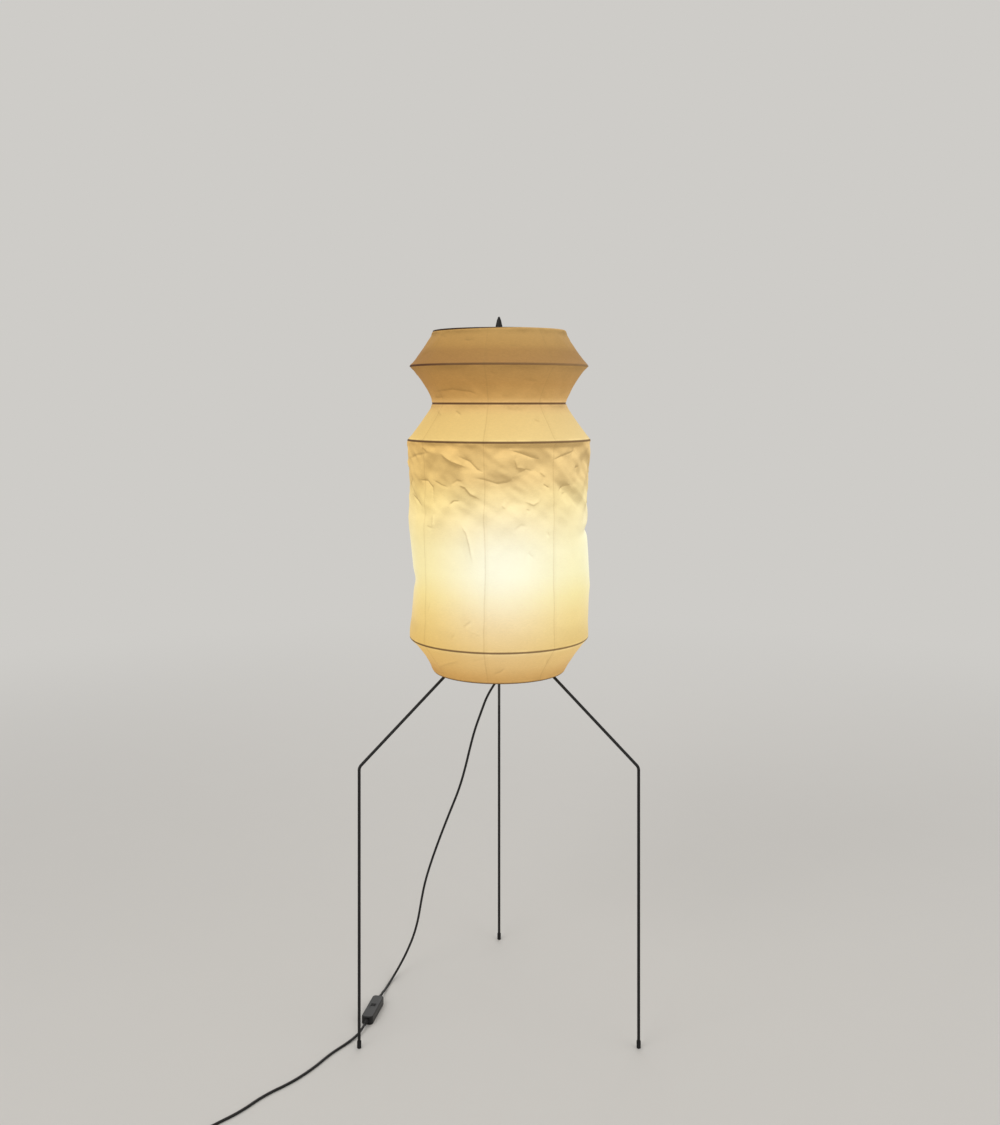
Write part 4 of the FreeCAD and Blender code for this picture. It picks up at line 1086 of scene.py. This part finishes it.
    # the base colour painted darker on the left, and lighter and cooler on the right
    paintedSideBases = [solid(tuple(c * t for c, t in zip(base, paperLook[side]))) for side in ("leftPaintedShade", "rightPaintedLight")]
    speckle = 0.93 + 0.13 * fibre.fade(0.3, 0.75)
    tone = paint.mix(1.0, paint.mix(litRightwards, *paintedSideBases), paint.grey(speckle), "MULTIPLY")
    relief = 0.55 * fibre + 0.45 * cloud + 0.25 * ridge * busy
    paint.set(
        baseColor=paint.mix(ringShadow, tone, ringShadowBase),
        roughness=paperLook["roughness"] + 0.12 * fibre,
        emissionColor=paint.mix(ringShadow, glow, ringShadowGlow),
        emissionStrength=1.0,
        normal=paint.bump(relief, 0.5, paperLook["bump"]),
    )
    return paint.material


def makeBand(name, band):
    topRing, bottomRing = band["rings"]
    top, bottom = ringHeight[topRing], ringHeight[bottomRing]
    topRadius, bottomRadius = paperRadius[topRing], paperRadius[bottomRing]
    mesh, foldShades = makeBandMesh(name, band, top, bottom, topRadius, bottomRadius)
    addAttributes(mesh, foldShades, Vector((top - bottom, bottomRadius - topRadius)).normalized())
    mesh.transform(Matrix.Translation(lampAxis))
    smoothFaces(mesh)
    made = link(name, mesh, makePaperMaterial(name, band, top, bottom))
    wall = made.modifiers.new("sheet", "SOLIDIFY")
    wall.thickness = shade["thick"]
    wall.offset = -1
    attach(made, band["body"])
    1 - band["travel"] / (top - bottom)
    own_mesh(made)
    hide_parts(*band["nodes"])
    print(name, len(mesh.polygons), "faces")


for bandName, bandFacts in bands.items():
    makeBand(bandName, bandFacts)
print("shade made")


studio = {
    "floorColour": (206, 203, 198),
    "floorReach": 40.0,
    "fadeFrom": 1.2,            # the floor goes over into the background from here
    "fadeTo": 4.5,
    "background": (206, 204, 200),
    "ambient": 0.62,
    "aimHeight": 0.8,
    "key": {"place": (-2.4, -3.2, 3.6), "size": 2.6, "power": 62.0},
    "fill": {"place": (3.0, -2.4, 2.4), "size": 3.0, "power": 34.0},
    "back": {"place": (0.4, 3.6, 3.2), "size": 3.0, "power": 40.0},
}


def makeFloor():
    bm = bmesh.new()
    bmesh.ops.create_grid(bm, x_segments=1, y_segments=1, size=studio["floorReach"])
    mesh = bpy.data.meshes.new("floor")
    bm.to_mesh(mesh)
    bm.free()
    paint = Recipe("floor")
    x, y, z = paint.axes(paint.place())
    far = (x * x + y * y).does("SQRT").fade(studio["fadeFrom"], studio["fadeTo"])
    grain = paint.noise(paint.place(), 6.0, 4)
    tone = linear(*studio["floorColour"])
    darker = tuple(0.985 * c for c in tone)
    paint.set(baseColor=paint.mix(grain, solid(tone), solid(darker)), roughness=0.85, specularIorLevel=0.2)
    seen = paint.add("ShaderNodeLightPath")
    plain = paint.add("ShaderNodeEmission", values={"Color": solid(linear(*studio["background"]))})
    both = paint.add("ShaderNodeMixShader", values={0: far * seen})
    join = both.socket.node
    paint.links.new(paint.shader.outputs[0], join.inputs[1])
    paint.links.new(plain.socket, join.inputs[2])
    paint.links.new(both.socket, paint.nodes["Material Output"].inputs["Surface"])
    link("floor", mesh, paint.material)


def makeLight(name, facts):
    data = bpy.data.lights.new(name, "AREA")
    data.energy = facts["power"]
    data.size = facts["size"]
    made = bpy.data.objects.new(name, data)
    made.location = facts["place"]
    aim = Vector((0, lampAxis.y, studio["aimHeight"])) - made.location
    made.rotation_euler = aim.to_track_quat("-Z", "Y").to_euler()
    bpy.context.scene.collection.objects.link(made)


def makeWorld():
    world = bpy.data.worlds.new("world")
    bpy.context.scene.world = world
    world.use_nodes = True
    tree = world.node_tree
    plain = tree.nodes["Background"]
    plain.inputs["Color"].default_value = (1, 1, 1, 1)
    plain.inputs["Strength"].default_value = studio["ambient"]
    shown = tree.nodes.new("ShaderNodeBackground")
    shown.inputs["Color"].default_value = solid(linear(*studio["background"]))
    path = tree.nodes.new("ShaderNodeLightPath")
    sees = tree.nodes.new("ShaderNodeMath")
    sees.operation = "MAXIMUM"
    tree.links.new(path.outputs["Is Camera Ray"], sees.inputs[0])
    tree.links.new(path.outputs["Is Glossy Ray"], sees.inputs[1])
    join = tree.nodes.new("ShaderNodeMixShader")
    tree.links.new(sees.outputs[0], join.inputs[0])
    tree.links.new(plain.outputs[0], join.inputs[1])
    tree.links.new(shown.outputs[0], join.inputs[2])
    tree.links.new(join.outputs[0], tree.nodes["World Output"].inputs["Surface"])


makeFloor()
for lightName in ("key", "fill", "back"):
    makeLight(lightName, studio[lightName])
makeWorld()
bpy.context.scene.view_settings.view_transform = "Standard"
print("studio made")
